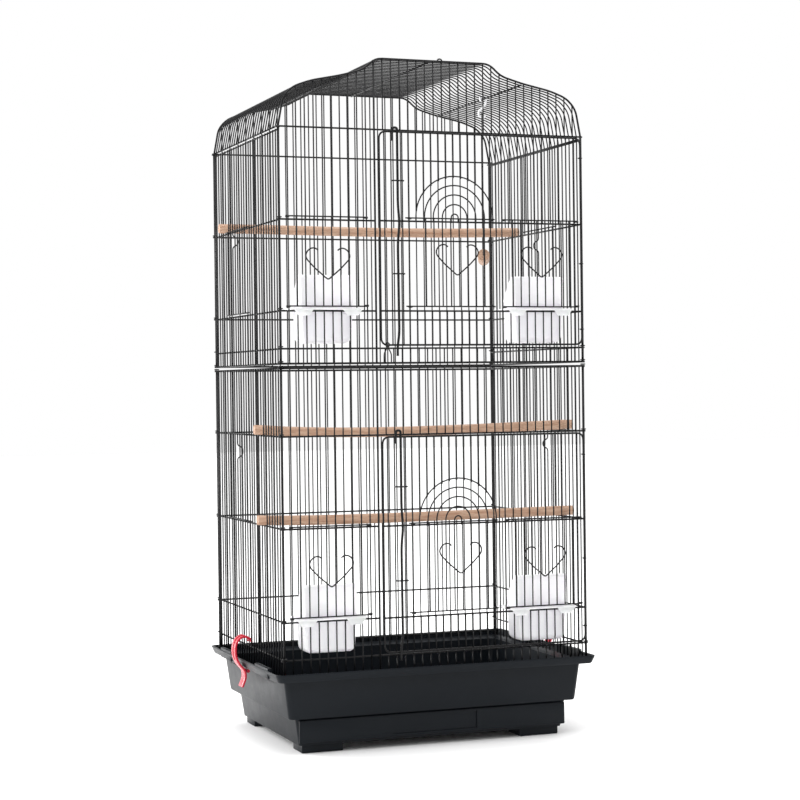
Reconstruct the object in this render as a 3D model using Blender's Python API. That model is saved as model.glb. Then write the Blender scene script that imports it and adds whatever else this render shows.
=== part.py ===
"""Bird cage for small birds: two wire sections and an arched wire roof on a plastic base tub.

Metres, +Z up. The origin is on the surface the feet rest on, under the middle of the cage.
The front, with the doors and the pull-out tray, faces -Y.
The wire panels carry every fourth upright wire (every third on the sides) of the real grille.
"""

import math

import bmesh
import bpy
from mathutils import Matrix, Vector

# Driving dimensions of the wire body
HALF_W = 0.217  # corner post to the middle, along X
HALF_D = 0.161  # corner post to the middle, along Y
FRONT_GAPS = 36  # spaces between the upright wires across the front and the back
SIDE_GAPS = 27  # and from front to back
FRONT_STEP = 4  # modelled uprights: every fourth across, every third from front to back
SIDE_STEP = 3
STRIP_GUIDES, STRIP_CUT, JAMB = (1, 10), (4, 8), 11  # uprights of the fixed strip left of the doors
DOOR_HOLE = (26, 35)  # uprights at the edges of the door's right hole
WIRE = 0.002
FRAME_WIRE = 0.0026
POST = 0.0034
ROD = 0.0035
GAP = 0.0004  # air between pieces that only rest on each other

# Heights of the cross wires, all round the cage
WIRE_FEET_Z = 0.1028
LOW_BOTTOM_Z, LOW_SILL_Z, LOW_MID_Z, LOW_HEAD_Z, LOW_TOP_Z = 0.1275, 0.177, 0.299, 0.420, 0.5095
UP_BOTTOM_Z, UP_FOOT_Z, UP_SILL_Z, UP_MID_Z = 0.5155, 0.535, 0.5845, 0.704
SIDE_TOP_Z, EAVE_Z, ROOF_Z = 0.8185, 0.825, 0.919
RIDGE_TIE_X, SLOPE_TIE_X, SLOPE_TIE_Z = -0.006, 0.130, 0.8945

# Layers of wire from the inside of the front outwards
CROSS_INSET = 0.0018  # cross wires are welded to the inside of the uprights
DOOR_Y = -HALF_D - 0.0036
BODY_SHUTTER_Y = -HALF_D - 0.0026
DOOR_SHUTTER_Y = DOOR_Y - 0.0026
ROD_Y = DOOR_Y - 0.0036

# Main doors and their small shutters
DOOR_LEFT, DOOR_RIGHT, DOOR_CORNER = -0.079, 0.2145, 0.010
DOOR_Z = {"lower": (0.1312, 0.4172), "upper": (0.5392, 0.8222)}
LATCH_X = (-0.0613, -0.0481)  # door uprights that carry the two staples of the latch rod
STAPLE_SHARES = (0.333, 0.776)  # heights of the staples on the door
MIDDLE_HOLE_X = (-0.0376, 0.0798)
ROD_X, ROD_HOOK = -0.0547, 0.0065
ROD_Z = {"lower": (0.120, 0.4275), "upper": (0.5246, 0.829)}
SHUTTER_SPAN, MIDDLE_SHUTTER_SPAN, SHUTTER_STILE = 0.1135, 0.1285, 0.084
SHUTTER_X = {"left": -0.1525, "middle": 0.0205, "right": 0.1525}
STILE_X = {"left": -0.1525, "middle": 0.0264, "right": 0.1525}  # the stiles stand round the heart
SHUTTER_HEIGHT = {"lower": 0.119, "upper": 0.1175}
SHUTTER_LAP = 0.004  # how far a side shutter reaches past the wires that edge its hole
SHUTTER_LIFT = 0.006  # bottom wire of a shutter above the cross wire under it
SILL_Z = {"lower": LOW_SILL_Z, "upper": UP_SILL_Z}
MID_Z = {"lower": LOW_MID_Z, "upper": UP_MID_Z}
SIDE_SHUTTER_Y = {"left": 0.0335, "right": -0.016}

# Plastic base: half width, half depth and height of each corner line of its outside
TUB_OUTSIDE = [
    (0.190, 0.137, 0.011),
    (0.1955, 0.139, 0.046),
    (0.207, 0.148, 0.0485),
    (0.2137, 0.1515, 0.098),
    (0.226, 0.1665, 0.1005),
    (0.230, 0.169, 0.1105),
]
TUB_INSIDE = [
    (0.184, 0.131, 0.0135),
    (0.1895, 0.133, 0.0465),
    (0.2035, 0.1445, 0.051),
    (0.2095, 0.1485, 0.0985),
    (0.2220, 0.1642, 0.1022),
    (0.2280, 0.1673, 0.112),
]
FOOT = (0.060, 0.042, 0.011)
TRAY_W, TRAY_LOW_Z, TRAY_HIGH_Z, TRAY_WALL = 0.364, 0.0155, 0.0425, 0.0022
TRAY_BACK_Y = 0.126
TRAY_FACE_W, TRAY_FACE_Y, TRAY_FACE_THICK = 0.384, -0.1425, 0.003
TRAY_FACE_Z = (0.0150, 0.0450)
PULL, PULL_DEPTH = (0.122, 0.024), 0.0022
CLIP_PIVOT = (0.2185, 0.094)  # half distance between the two clips' pins, and the pins' height
CLIP_W, CLIP_THICK, CLIP_LUG = 0.018, 0.0032, 0.006

PERCH_RADIUS, PERCH_LENGTH = 0.0067, 0.455
SLOT_WIDTH, SLOT_DEPTH = 0.0034, 0.0125
CUP_W, CUP_D, CUP_BOWL, CUP_HOOD, CUP_WALL = 0.075, 0.040, 0.044, 0.046, 0.0015
FLANGE_W, FLANGE_THICK = 0.098, 0.0026
EAR_W, EAR_DROP, EAR_THICK = 0.020, 0.0075, 0.0012

SWING_PLACE = Vector((0.128, -0.025, 0.0))
SWING_TURN = math.radians(67.2)  # the swing's perch, from +X towards +Y
SWING_PIVOT_Z, SWING_PERCH_Z = 0.8725, 0.667
SWING_LENGTH, SWING_RADIUS = 0.106, 0.0083

MATERIALS = {
    "wire": ((0.012, 0.012, 0.013), 0.38, 0.0),
    "tub_plastic": ((0.020, 0.023, 0.028), 0.45, 0.0),
    "tray_plastic": ((0.012, 0.014, 0.018), 0.5, 0.0),
    "cup_plastic": ((0.84, 0.82, 0.90), 0.3, 0.0),
    "beech": ((0.70, 0.45, 0.27), 0.6, 0.0),
    "red_plastic": ((0.60, 0.03, 0.06), 0.35, 0.0),
    "white_plastic": ((0.85, 0.85, 0.85), 0.35, 0.0),
}


# ---------------------------------------------------------------- scene and helpers


def clear_scene():
    for item in list(bpy.data.objects):
        bpy.data.objects.remove(item)


def material(name):
    """The named finish, made the first time it is asked for."""
    found = bpy.data.materials.get(name)
    if found:
        return found
    colour, roughness, metallic = MATERIALS[name]
    made = bpy.data.materials.new(name)
    made.use_nodes = True
    shader = made.node_tree.nodes["Principled BSDF"]
    shader.inputs["Base Color"].default_value = (*colour, 1)
    shader.inputs["Roughness"].default_value = roughness
    shader.inputs["Metallic"].default_value = metallic
    return made


def new_collection(name):
    made = bpy.data.collections.new(name)
    bpy.context.scene.collection.children.link(made)
    return made


def add_object(name, mesh, finish, origin=(0, 0, 0)):
    """An object that shows the mesh where it is, with its own origin at the given place."""
    mesh.transform(Matrix.Translation(-Vector(origin)))
    made = bpy.data.objects.new(name, mesh)
    made.location = origin
    mesh.materials.clear()
    mesh.materials.append(material(finish))
    CAGE.objects.link(made)
    return made


def boolean(target, tool_mesh, operation):
    """Joins or cuts the target with a mesh that stays in the scene as a hidden guide."""
    tool = bpy.data.objects.new(f"{target.name}_{operation.lower()}", tool_mesh)
    tool.location = (0, 0, 0)
    tool.hide_render = True
    tool.display_type = "WIRE"
    GUIDES.objects.link(tool)
    step = target.modifiers.new(operation.title(), "BOOLEAN")
    step.operation = operation
    step.object = tool
    step.use_self = False


def mesh_of(bm):
    bmesh.ops.recalc_face_normals(bm, faces=bm.faces)
    mesh = bpy.data.meshes.new("shape")
    bm.to_mesh(mesh)
    bm.free()
    return mesh


def box(bm, low, high):
    """Adds an upright box between two opposite corners."""
    low, high = Vector(low), Vector(high)
    place = Matrix.Translation((low + high) / 2) @ Matrix.Diagonal((*(high - low), 1))
    bmesh.ops.create_cube(bm, size=1, matrix=place)


def box_mesh(*boxes):
    bm = bmesh.new()
    for low, high in boxes:
        box(bm, low, high)
    return mesh_of(bm)


def wire_mesh(paths, thickness, closed=False):
    """Square wires of this thickness, one along each path of points."""
    curve = bpy.data.curves.new("wires", "CURVE")
    curve.dimensions = "3D"
    curve.bevel_depth = thickness / math.sqrt(2)  # the bevel's four corners lie on this circle
    curve.bevel_resolution = 0
    curve.use_fill_caps = True
    for path in paths:
        spline = curve.splines.new("POLY")
        spline.points.add(len(path) - 1)
        for point, place in zip(spline.points, path):
            point.co = (*place, 1)
            point.tilt = math.pi / 4
        spline.use_cyclic_u = closed
    run = bpy.data.objects.new("wires", curve)
    bpy.context.scene.collection.objects.link(run)
    graph = bpy.context.evaluated_depsgraph_get()
    mesh = bpy.data.meshes.new_from_object(run.evaluated_get(graph))
    bpy.data.objects.remove(run)
    bm = bmesh.new()
    bm.from_mesh(mesh)
    bmesh.ops.remove_doubles(bm, verts=bm.verts, dist=1e-6)
    return mesh_of(bm)


def welded_wires(name, layers, origin=(0, 0, 0), finish="wire"):
    """One welded piece from layers of (paths, thickness, closed); wires cross only between layers."""
    first, *others = [wire_mesh(*layer) for layer in layers]
    piece = add_object(name, first, finish)
    for other in others:
        boolean(piece, other, "UNION")
    if tuple(origin) == (0, 0, 0):
        return piece
    graph = bpy.context.evaluated_depsgraph_get()
    joined = bpy.data.meshes.new_from_object(piece.evaluated_get(graph))
    bpy.data.objects.remove(piece)
    return add_object(name, joined, finish, origin)


def front_x(number):
    """Place across the cage of an upright wire, counted from the left post."""
    return -HALF_W + 2 * HALF_W * number / FRONT_GAPS


def side_y(number):
    """Place from front to back of an upright wire, counted from the front post."""
    return -HALF_D + 2 * HALF_D * number / SIDE_GAPS


def across(y, z, left, right):
    return [(left, y, z), (right, y, z)]


def upright(x, y, low, high):
    return [(x, y, low), (x, y, high)]


# ---------------------------------------------------------------- wire body


def roof_profile():
    """Outline of the arch from the left eave to the right: flat ridge, hollow shoulder, slope, round eave."""
    right = [
        (0.082, ROOF_Z),
        (0.098, 0.9035),
        (SLOPE_TIE_X, SLOPE_TIE_Z),
        (0.172, 0.886),
        (0.1965, 0.877),
        (0.210, 0.8625),
        (HALF_W, EAVE_Z),
    ]
    return [(-x, z) for x, z in reversed(right)] + right


def roof_height(x):
    """Height of the arch's outline at a place across the cage."""
    outline = roof_profile()
    for (x0, z0), (x1, z1) in zip(outline, outline[1:]):
        if x0 <= x <= x1:
            return z0 + (z1 - z0) * (x - x0) / (x1 - x0)
    return EAVE_Z


def cross_heights(section, top):
    """Heights of the cross wires of a front, back or side panel, up to its own top wire."""
    if section == "lower":
        return [LOW_BOTTOM_Z, LOW_SILL_Z, LOW_MID_Z, LOW_HEAD_Z, LOW_TOP_Z]
    return [UP_BOTTOM_Z, UP_FOOT_Z, UP_SILL_Z, UP_MID_Z, top]


def arch_path(y):
    return [(x, y, z) for x, z in roof_profile()]


def make_back_panels():
    for section in ("lower", "upper"):
        low = section == "lower"
        bottom = WIRE_FEET_Z if low else UP_BOTTOM_Z
        top = (LOW_TOP_Z if low else EAVE_Z) + WIRE / 2
        places = [front_x(n) for n in range(FRONT_STEP, FRONT_GAPS, FRONT_STEP)]
        uprights = [upright(x, HALF_D, bottom, top if low else roof_height(x)) for x in places]
        posts = [upright(side * HALF_W, HALF_D, bottom, top) for side in (-1, 1)]
        inner_y = HALF_D - CROSS_INSET
        crosses = [across(inner_y, z, -HALF_W, HALF_W) for z in cross_heights(section, EAVE_Z)]
        layers = [(crosses, WIRE), (uprights, WIRE), (posts, POST)]
        if not low:
            layers.append(([arch_path(HALF_D)], FRAME_WIRE))
        welded_wires(f"{section}_back_panel", layers)


def front_strip(section):
    """Wires of the fixed strip left of a main door, with the hole that the left shutter closes."""
    low = section == "lower"
    bottom = WIRE_FEET_Z if low else UP_BOTTOM_Z
    top = LOW_TOP_Z + WIRE / 2 if low else None
    sill, middle = SILL_Z[section], MID_Z[section]
    paths = [
        upright(front_x(n), -HALF_D, bottom, top or roof_height(front_x(n))) for n in (*STRIP_GUIDES, JAMB)
    ]
    for n in STRIP_CUT:
        paths.append(upright(front_x(n), -HALF_D, bottom, sill))
        paths.append(upright(front_x(n), -HALF_D, middle, top or roof_height(front_x(n))))
    inner_y = -HALF_D + CROSS_INSET
    crosses = [across(inner_y, z, -HALF_W, front_x(JAMB)) for z in (sill, middle)]
    return paths, crosses


def make_front_panels():
    inner_y = -HALF_D + CROSS_INSET
    over_door = range(JAMB + 1, FRONT_GAPS, FRONT_STEP)
    for section in ("lower", "upper"):
        strip, crosses = front_strip(section)
        if section == "lower":
            bottom, top = WIRE_FEET_Z, LOW_TOP_Z
            crosses += [across(inner_y, z, -HALF_W, HALF_W) for z in (LOW_BOTTOM_Z, LOW_HEAD_Z, LOW_TOP_Z)]
            strip += [upright(front_x(n), -HALF_D, LOW_HEAD_Z, top + WIRE / 2) for n in over_door]
        else:
            bottom, top = UP_BOTTOM_Z, EAVE_Z
            crosses += [across(inner_y, z, -HALF_W, HALF_W) for z in (UP_BOTTOM_Z, UP_FOOT_Z, EAVE_Z)]
            strip += [upright(front_x(n), -HALF_D, UP_BOTTOM_Z, UP_FOOT_Z) for n in over_door]
            strip += [
                upright(front_x(n), -HALF_D, EAVE_Z, roof_height(front_x(n))) for n in over_door
            ]
        posts = [upright(side * HALF_W, -HALF_D, bottom, top + WIRE / 2) for side in (-1, 1)]
        layers = [(crosses, WIRE), (strip, WIRE), (posts, POST)]
        if section == "upper":
            layers.append(([arch_path(-HALF_D)], FRAME_WIRE))
        welded_wires(f"{section}_front_panel", layers)


def shutter_range_z(section):
    """Lowest and highest wire of a shutter that stands in the hole over this section's sill."""
    low = SILL_Z[section] + SHUTTER_LIFT
    return low, low + SHUTTER_HEIGHT[section]


def side_hole(section):
    """Bottom and top of the hole in a side panel."""
    return (LOW_MID_Z, LOW_HEAD_Z) if section == "lower" else (UP_SILL_Z, UP_MID_Z)


def make_side_panels():
    ends = HALF_D - CROSS_INSET - WIRE / 2 - GAP
    for section in ("lower", "upper"):
        heights = cross_heights(section, SIDE_TOP_Z)
        bottom = WIRE_FEET_Z if section == "lower" else UP_BOTTOM_Z
        top = heights[-1] + WIRE / 2
        hole_low, hole_high = side_hole(section)
        for side, sign in (("left", -1), ("right", 1)):
            middle = SIDE_SHUTTER_Y[side]
            hole_half = SHUTTER_SPAN / 2 - SHUTTER_LAP
            hole = (middle - hole_half, middle + hole_half)
            paths = [
                upright(sign * HALF_W, y, bottom, top)
                for y in (*hole, side_y(1), side_y(SIDE_GAPS - 1))
            ]
            for n in range(SIDE_STEP, SIDE_GAPS, SIDE_STEP):
                y = side_y(n)
                if min(abs(y - edge) for edge in hole) < 2 * WIRE:
                    continue
                if hole[0] < y < hole[1]:
                    paths.append(upright(sign * HALF_W, y, bottom, hole_low))
                    paths.append(upright(sign * HALF_W, y, hole_high, top))
                else:
                    paths.append(upright(sign * HALF_W, y, bottom, top))
            x = sign * (HALF_W - CROSS_INSET)
            crosses = [[(x, -ends, z), (x, ends, z)] for z in heights]
            welded_wires(f"{section}_{side}_panel", [(crosses, WIRE), (paths, WIRE)])


def make_roof():
    """Profile wires bent over from eave to eave, tied by five wires from front to back."""
    lift = EAVE_Z - 0.0002
    ribs = []
    for n in range(SIDE_STEP, SIDE_GAPS, SIDE_STEP):
        outline = roof_profile()
        outline[0] = (-HALF_W, lift)
        outline[-1] = (HALF_W, lift)
        ribs.append([(x, side_y(n), z) for x, z in outline])
    ends = HALF_D - CROSS_INSET - WIRE / 2 - GAP
    ties = [(RIDGE_TIE_X, ROOF_Z - CROSS_INSET)]
    ties += [(side * SLOPE_TIE_X, SLOPE_TIE_Z - CROSS_INSET) for side in (-1, 1)]
    ties += [(side * (HALF_W - CROSS_INSET), EAVE_Z + 0.0012) for side in (-1, 1)]
    bars = [[(x, -ends, z), (x, ends, z)] for x, z in ties]
    welded_wires("roof_panel", [(ribs, WIRE), (bars, WIRE)])


def make_section_hooks():
    """Bent wire loops: one on the front arch, one on the back arch, one that ties the back panels."""
    radius = 0.0035
    loop_z = ROOF_Z + FRAME_WIRE / 2 + WIRE / 2 + GAP
    for name, x, y in (("front_roof_loop", 0.010, -HALF_D), ("back_roof_loop", -0.013, HALF_D)):
        angles = [math.pi * step / 6 for step in range(7)]
        path = [(x + radius * math.cos(angle), y, loop_z + radius * math.sin(angle)) for angle in angles]
        welded_wires(name, [([path], WIRE)])
    x, y, half, drop = 0.049, HALF_D + WIRE + GAP, 0.0066, 0.016
    centre_z = UP_FOOT_Z + 0.010
    angles = [math.radians(degrees) for degrees in range(-40, 221, 20)]
    loop = [(x + half * math.cos(angle), y, centre_z + half * math.sin(angle)) for angle in angles]
    right_tail, left_tail = [(x + side * 0.4 * half, y, UP_FOOT_Z - drop) for side in (1, -1)]
    welded_wires("back_section_hook", [([[right_tail, *loop, left_tail]], WIRE)])


# ---------------------------------------------------------------- doors


def rounded_frame(left, right, low, high, y):
    """A closed rectangle of wire with one extra point at each corner."""
    cut = DOOR_CORNER * (1 - math.sqrt(0.5))
    corners = []
    for x, z, sx, sz, along_x in (
        (left, low, 1, 1, False),
        (right, low, -1, 1, True),
        (right, high, -1, -1, False),
        (left, high, 1, -1, True),
    ):
        ends = [(x, z + sz * DOOR_CORNER), (x + sx * cut, z + sz * cut), (x + sx * DOOR_CORNER, z)]
        corners += reversed(ends) if along_x else ends
    return [(x, y, z) for x, z in corners]


def make_main_doors():
    for section, (low, high) in DOOR_Z.items():
        sill, middle = SILL_Z[section], MID_Z[section]
        whole = [*LATCH_X, *MIDDLE_HOLE_X, *(front_x(n) for n in DOOR_HOLE)]
        third = (MIDDLE_HOLE_X[1] - MIDDLE_HOLE_X[0]) / 3
        cut = [MIDDLE_HOLE_X[0] + third, MIDDLE_HOLE_X[1] - third]
        cut += [front_x(DOOR_HOLE[0] + 3), front_x(DOOR_HOLE[1] - 3)]
        paths = [upright(x, DOOR_Y, low, high) for x in whole]
        for x in cut:
            paths.append(upright(x, DOOR_Y, low, sill))
            paths.append(upright(x, DOOR_Y, middle, high))
        crosses = [across(DOOR_Y + CROSS_INSET, z, DOOR_LEFT, DOOR_RIGHT) for z in (sill, middle)]
        frame = [rounded_frame(DOOR_LEFT, DOOR_RIGHT, low, high, DOOR_Y)]
        staple_y = ROD_Y - ROD / 2 - GAP - WIRE / 2
        height = high - low
        staples = [
            [
                (LATCH_X[0], DOOR_Y, z),
                (LATCH_X[0], staple_y, z),
                (LATCH_X[1], staple_y, z),
                (LATCH_X[1], DOOR_Y, z),
            ]
            for z in (low + share * height for share in STAPLE_SHARES)
        ]
        layers = [(crosses, WIRE), (paths, WIRE), (frame, FRAME_WIRE, True), (staples, WIRE)]
        welded_wires(f"{section}_main_door", layers, origin=(DOOR_RIGHT, DOOR_Y, low))


def make_latch_rods():
    """A rod that slides up the door's free edge, with its top bent over into a finger hook."""
    for section, (low, high) in ROD_Z.items():
        top = high - ROD / 2
        path = [
            (ROD_X, ROD_Y, low),
            (ROD_X, ROD_Y, top - 0.004),
            (ROD_X - 0.3 * ROD_HOOK, ROD_Y, top),
            (ROD_X - 0.92 * ROD_HOOK, ROD_Y, top - 0.002),
            (ROD_X - ROD_HOOK, ROD_Y, top - 0.017),
        ]
        welded_wires(f"{section}_latch_rod", [([path], ROD)], origin=(ROD_X, ROD_Y, low))


def make_front_shutters():
    """Small doors that lift over the feeding holes."""
    for section in ("lower", "upper"):
        low, high = shutter_range_z(section)
        for place, x in SHUTTER_X.items():
            y = BODY_SHUTTER_Y if place == "left" else DOOR_SHUTTER_Y
            span = MIDDLE_SHUTTER_SPAN if place == "middle" else SHUTTER_SPAN
            crosses = [across(y, z, x - span / 2, x + span / 2) for z in (low, high)]
            stiles = [STILE_X[place] + step * SHUTTER_STILE / 2 for step in (-1, 0, 1)]
            outer = y - 0.4 * WIRE
            paths = [upright(at, outer, low, high) for at in stiles]
            welded_wires(f"{section}_{place}_shutter", [(crosses, WIRE), (paths, WIRE)], origin=(x, y, low))


def make_side_shutters():
    for section in ("lower", "upper"):
        hole_low, _ = side_hole(section)
        low = hole_low + SHUTTER_LIFT - 0.003
        high = low + SHUTTER_HEIGHT[section]
        for side, sign in (("left", -1), ("right", 1)):
            middle = SIDE_SHUTTER_Y[side]
            x = sign * (HALF_W + 0.003)
            half = SHUTTER_SPAN / 2
            crosses = [[(x, middle - half, z), (x, middle + half, z)] for z in (low, high)]
            outer = x + sign * 0.4 * WIRE
            steps = (-1, 0, 1)
            paths = [upright(outer, middle + step * SHUTTER_STILE / 2, low, high) for step in steps]
            layers = [(crosses, WIRE), (paths, WIRE)]
            welded_wires(f"{section}_{side}_side_shutter", layers, origin=(x, middle, low))


# ---------------------------------------------------------------- base


def stack_mesh(levels):
    """A closed stack of rectangles, each given by half width, half depth and height."""
    bm = bmesh.new()
    rings = []
    for half_w, half_d, z in levels:
        made = bmesh.ops.create_circle(bm, segments=4, radius=math.sqrt(2))["verts"]
        place = Matrix.Translation((0, 0, z)) @ Matrix.Diagonal((half_w, half_d, 1, 1))
        turn = Matrix.Rotation(math.pi / 4, 4, "Z")
        bmesh.ops.transform(bm, matrix=place @ turn, verts=made)
        rings.append([edge for edge in bm.edges if all(vert in made for vert in edge.verts)])
    for lower, upper in zip(rings, rings[1:]):
        bmesh.ops.bridge_loops(bm, edges=lower + upper)
    bmesh.ops.holes_fill(bm, edges=bm.edges, sides=4)
    return mesh_of(bm)


def make_base_tub():
    tub = add_object("base_tub", stack_mesh(TUB_OUTSIDE), "tub_plastic")
    foot_x, foot_y = 0.190 - FOOT[0], 0.137 - FOOT[1]
    feet = [
        (
            (min(sx * foot_x, sx * 0.186), min(sy * foot_y, sy * 0.133), 0),
            (max(sx * foot_x, sx * 0.186), max(sy * foot_y, sy * 0.133), FOOT[2] + 0.001),
        )
        for sx in (-1, 1)
        for sy in (-1, 1)
    ]
    boolean(tub, box_mesh(*feet), "UNION")
    boolean(tub, stack_mesh(TUB_INSIDE), "DIFFERENCE")
    mouth = TRAY_W / 2 + 0.0012
    low, high = TRAY_LOW_Z - 0.0008, TRAY_HIGH_Z + 0.0012
    boolean(tub, box_mesh(((-mouth, -0.160, low), (mouth, -0.120, high))), "DIFFERENCE")


def make_floor_grille():
    """Loose wire floor that lies on the ledge above the tray."""
    z, half_x, half_y = 0.0535, 0.2005, 0.1415
    bars = [[(x, -half_y, z), (x, half_y, z)] for x in (step * 0.0495 for step in range(-4, 5))]
    ties = [across(y, z - 0.0012, -half_x, half_x) for y in (-half_y + 0.002, 0.0, half_y - 0.002)]
    welded_wires("floor_grille", [(bars, WIRE), (ties, WIRE)])


def make_tray():
    half = TRAY_W / 2
    face_low, face_high = TRAY_FACE_Z
    front = TRAY_FACE_Y + TRAY_FACE_THICK
    body = box_mesh(((-half, front - 0.001, TRAY_LOW_Z), (half, TRAY_BACK_Y, TRAY_HIGH_Z)))
    face_half = TRAY_FACE_W / 2
    tray = add_object("slide_out_tray", body, "tray_plastic", origin=(0, TRAY_FACE_Y, TRAY_LOW_Z))
    boolean(tray, box_mesh(((-face_half, TRAY_FACE_Y, face_low), (face_half, front, face_high))), "UNION")
    inner = half - TRAY_WALL
    hollow = (
        (-inner, front + TRAY_WALL, TRAY_LOW_Z + TRAY_WALL),
        (inner, TRAY_BACK_Y - TRAY_WALL, TRAY_HIGH_Z + 0.010),
    )
    boolean(tray, box_mesh(hollow), "DIFFERENCE")
    middle = (face_low + face_high) / 2
    pull = (
        (-PULL[0] / 2, TRAY_FACE_Y - 0.001, middle - PULL[1] / 2),
        (PULL[0] / 2, TRAY_FACE_Y + PULL_DEPTH, middle + PULL[1] / 2),
    )
    boolean(tray, box_mesh(pull), "DIFFERENCE")


def make_side_clips():
    """Spring levers on the tub's sides that hook over the bottom wire of the side panels."""
    pivot = Vector((-CLIP_PIVOT[0], side_y(14), CLIP_PIVOT[1]))
    inner = [(-0.2140, 0.1340), (-0.2150, 0.1385), (-0.2215, 0.1430), (-0.2280, 0.1440)]
    outer = [(-0.2350, 0.1400), (-0.2395, 0.1330), (-0.2420, 0.1230), (-0.2405, 0.1130)]
    tail = [(-0.2345, 0.1030), (-0.2265, 0.0945), (-0.2260, 0.0850), (-0.2310, 0.0730)]
    for side, sign in (("left", 1), ("right", -1)):
        bm = bmesh.new()
        spine = [Vector((x, 0, z)) for x, z in inner + outer + tail]
        verts = [bm.verts.new(point + Vector((0, -CLIP_W / 2, 0))) for point in spine]
        edges = [bm.edges.new(pair) for pair in zip(verts, verts[1:])]
        made = bmesh.ops.extrude_edge_only(bm, edges=edges)["geom"]
        moved = [item for item in made if isinstance(item, bmesh.types.BMVert)]
        bmesh.ops.translate(bm, verts=moved, vec=(0, CLIP_W, 0))
        bmesh.ops.solidify(bm, geom=bm.faces, thickness=CLIP_THICK)
        bmesh.ops.translate(bm, verts=bm.verts, vec=(0, pivot.y, 0))
        if sign < 0:
            bmesh.ops.mirror(bm, geom=bm.verts[:] + bm.edges[:] + bm.faces[:], axis="X", merge_dist=-1)
            bmesh.ops.delete(bm, geom=[vert for vert in bm.verts if vert.co.x < 0], context="VERTS")
        centre = Vector((sign * pivot.x, pivot.y, pivot.z))
        clip = add_object(f"{side}_side_clip", mesh_of(bm), "red_plastic", origin=centre)
        near, far = sorted((sign * -0.2262, sign * (pivot.x + 0.0005)))
        lug_low = (near, pivot.y - CLIP_LUG, pivot.z - CLIP_LUG / 2)
        lug = (lug_low, (far, pivot.y + CLIP_LUG, pivot.z + CLIP_LUG / 2))
        boolean(clip, box_mesh(lug), "UNION")


# ---------------------------------------------------------------- perches, swing and cups


def make_perches():
    """Dowels whose slotted ends straddle an upright of each side panel and rest on its cross wire."""
    rest = WIRE / 2 + PERCH_RADIUS + GAP
    places = {
        "top_perch": (UP_MID_Z + rest, side_y(22), side_y(20)),
        "middle_perch": (LOW_HEAD_Z + rest, side_y(8), side_y(5)),
        "bottom_perch": (LOW_MID_Z + rest, side_y(7), side_y(5)),
    }
    for name, (z, left_y, right_y) in places.items():
        turn = math.atan2(right_y - left_y, 2 * HALF_W)
        middle = (0, (left_y + right_y) / 2, z)
        place = Matrix.Translation(middle) @ Matrix.Rotation(turn, 4, "Z")
        lie_along_x = Matrix.Rotation(math.pi / 2, 4, "Y")
        bm = bmesh.new()
        bmesh.ops.create_cone(
            bm,
            cap_ends=True,
            segments=16,
            radius1=PERCH_RADIUS,
            radius2=PERCH_RADIUS,
            depth=PERCH_LENGTH,
            matrix=place @ lie_along_x,
        )
        perch = add_object(name, mesh_of(bm), "beech", origin=middle)
        slots = bmesh.new()
        for end in (-1, 1):
            tip = end * PERCH_LENGTH / 2
            near, far = sorted((tip - end * SLOT_DEPTH, tip + end * 0.002))
            box(slots, (near, -SLOT_WIDTH / 2, -0.010), (far, SLOT_WIDTH / 2, 0.010))
        bmesh.ops.transform(slots, matrix=place, verts=slots.verts)
        boolean(perch, mesh_of(slots), "DIFFERENCE")


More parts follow.
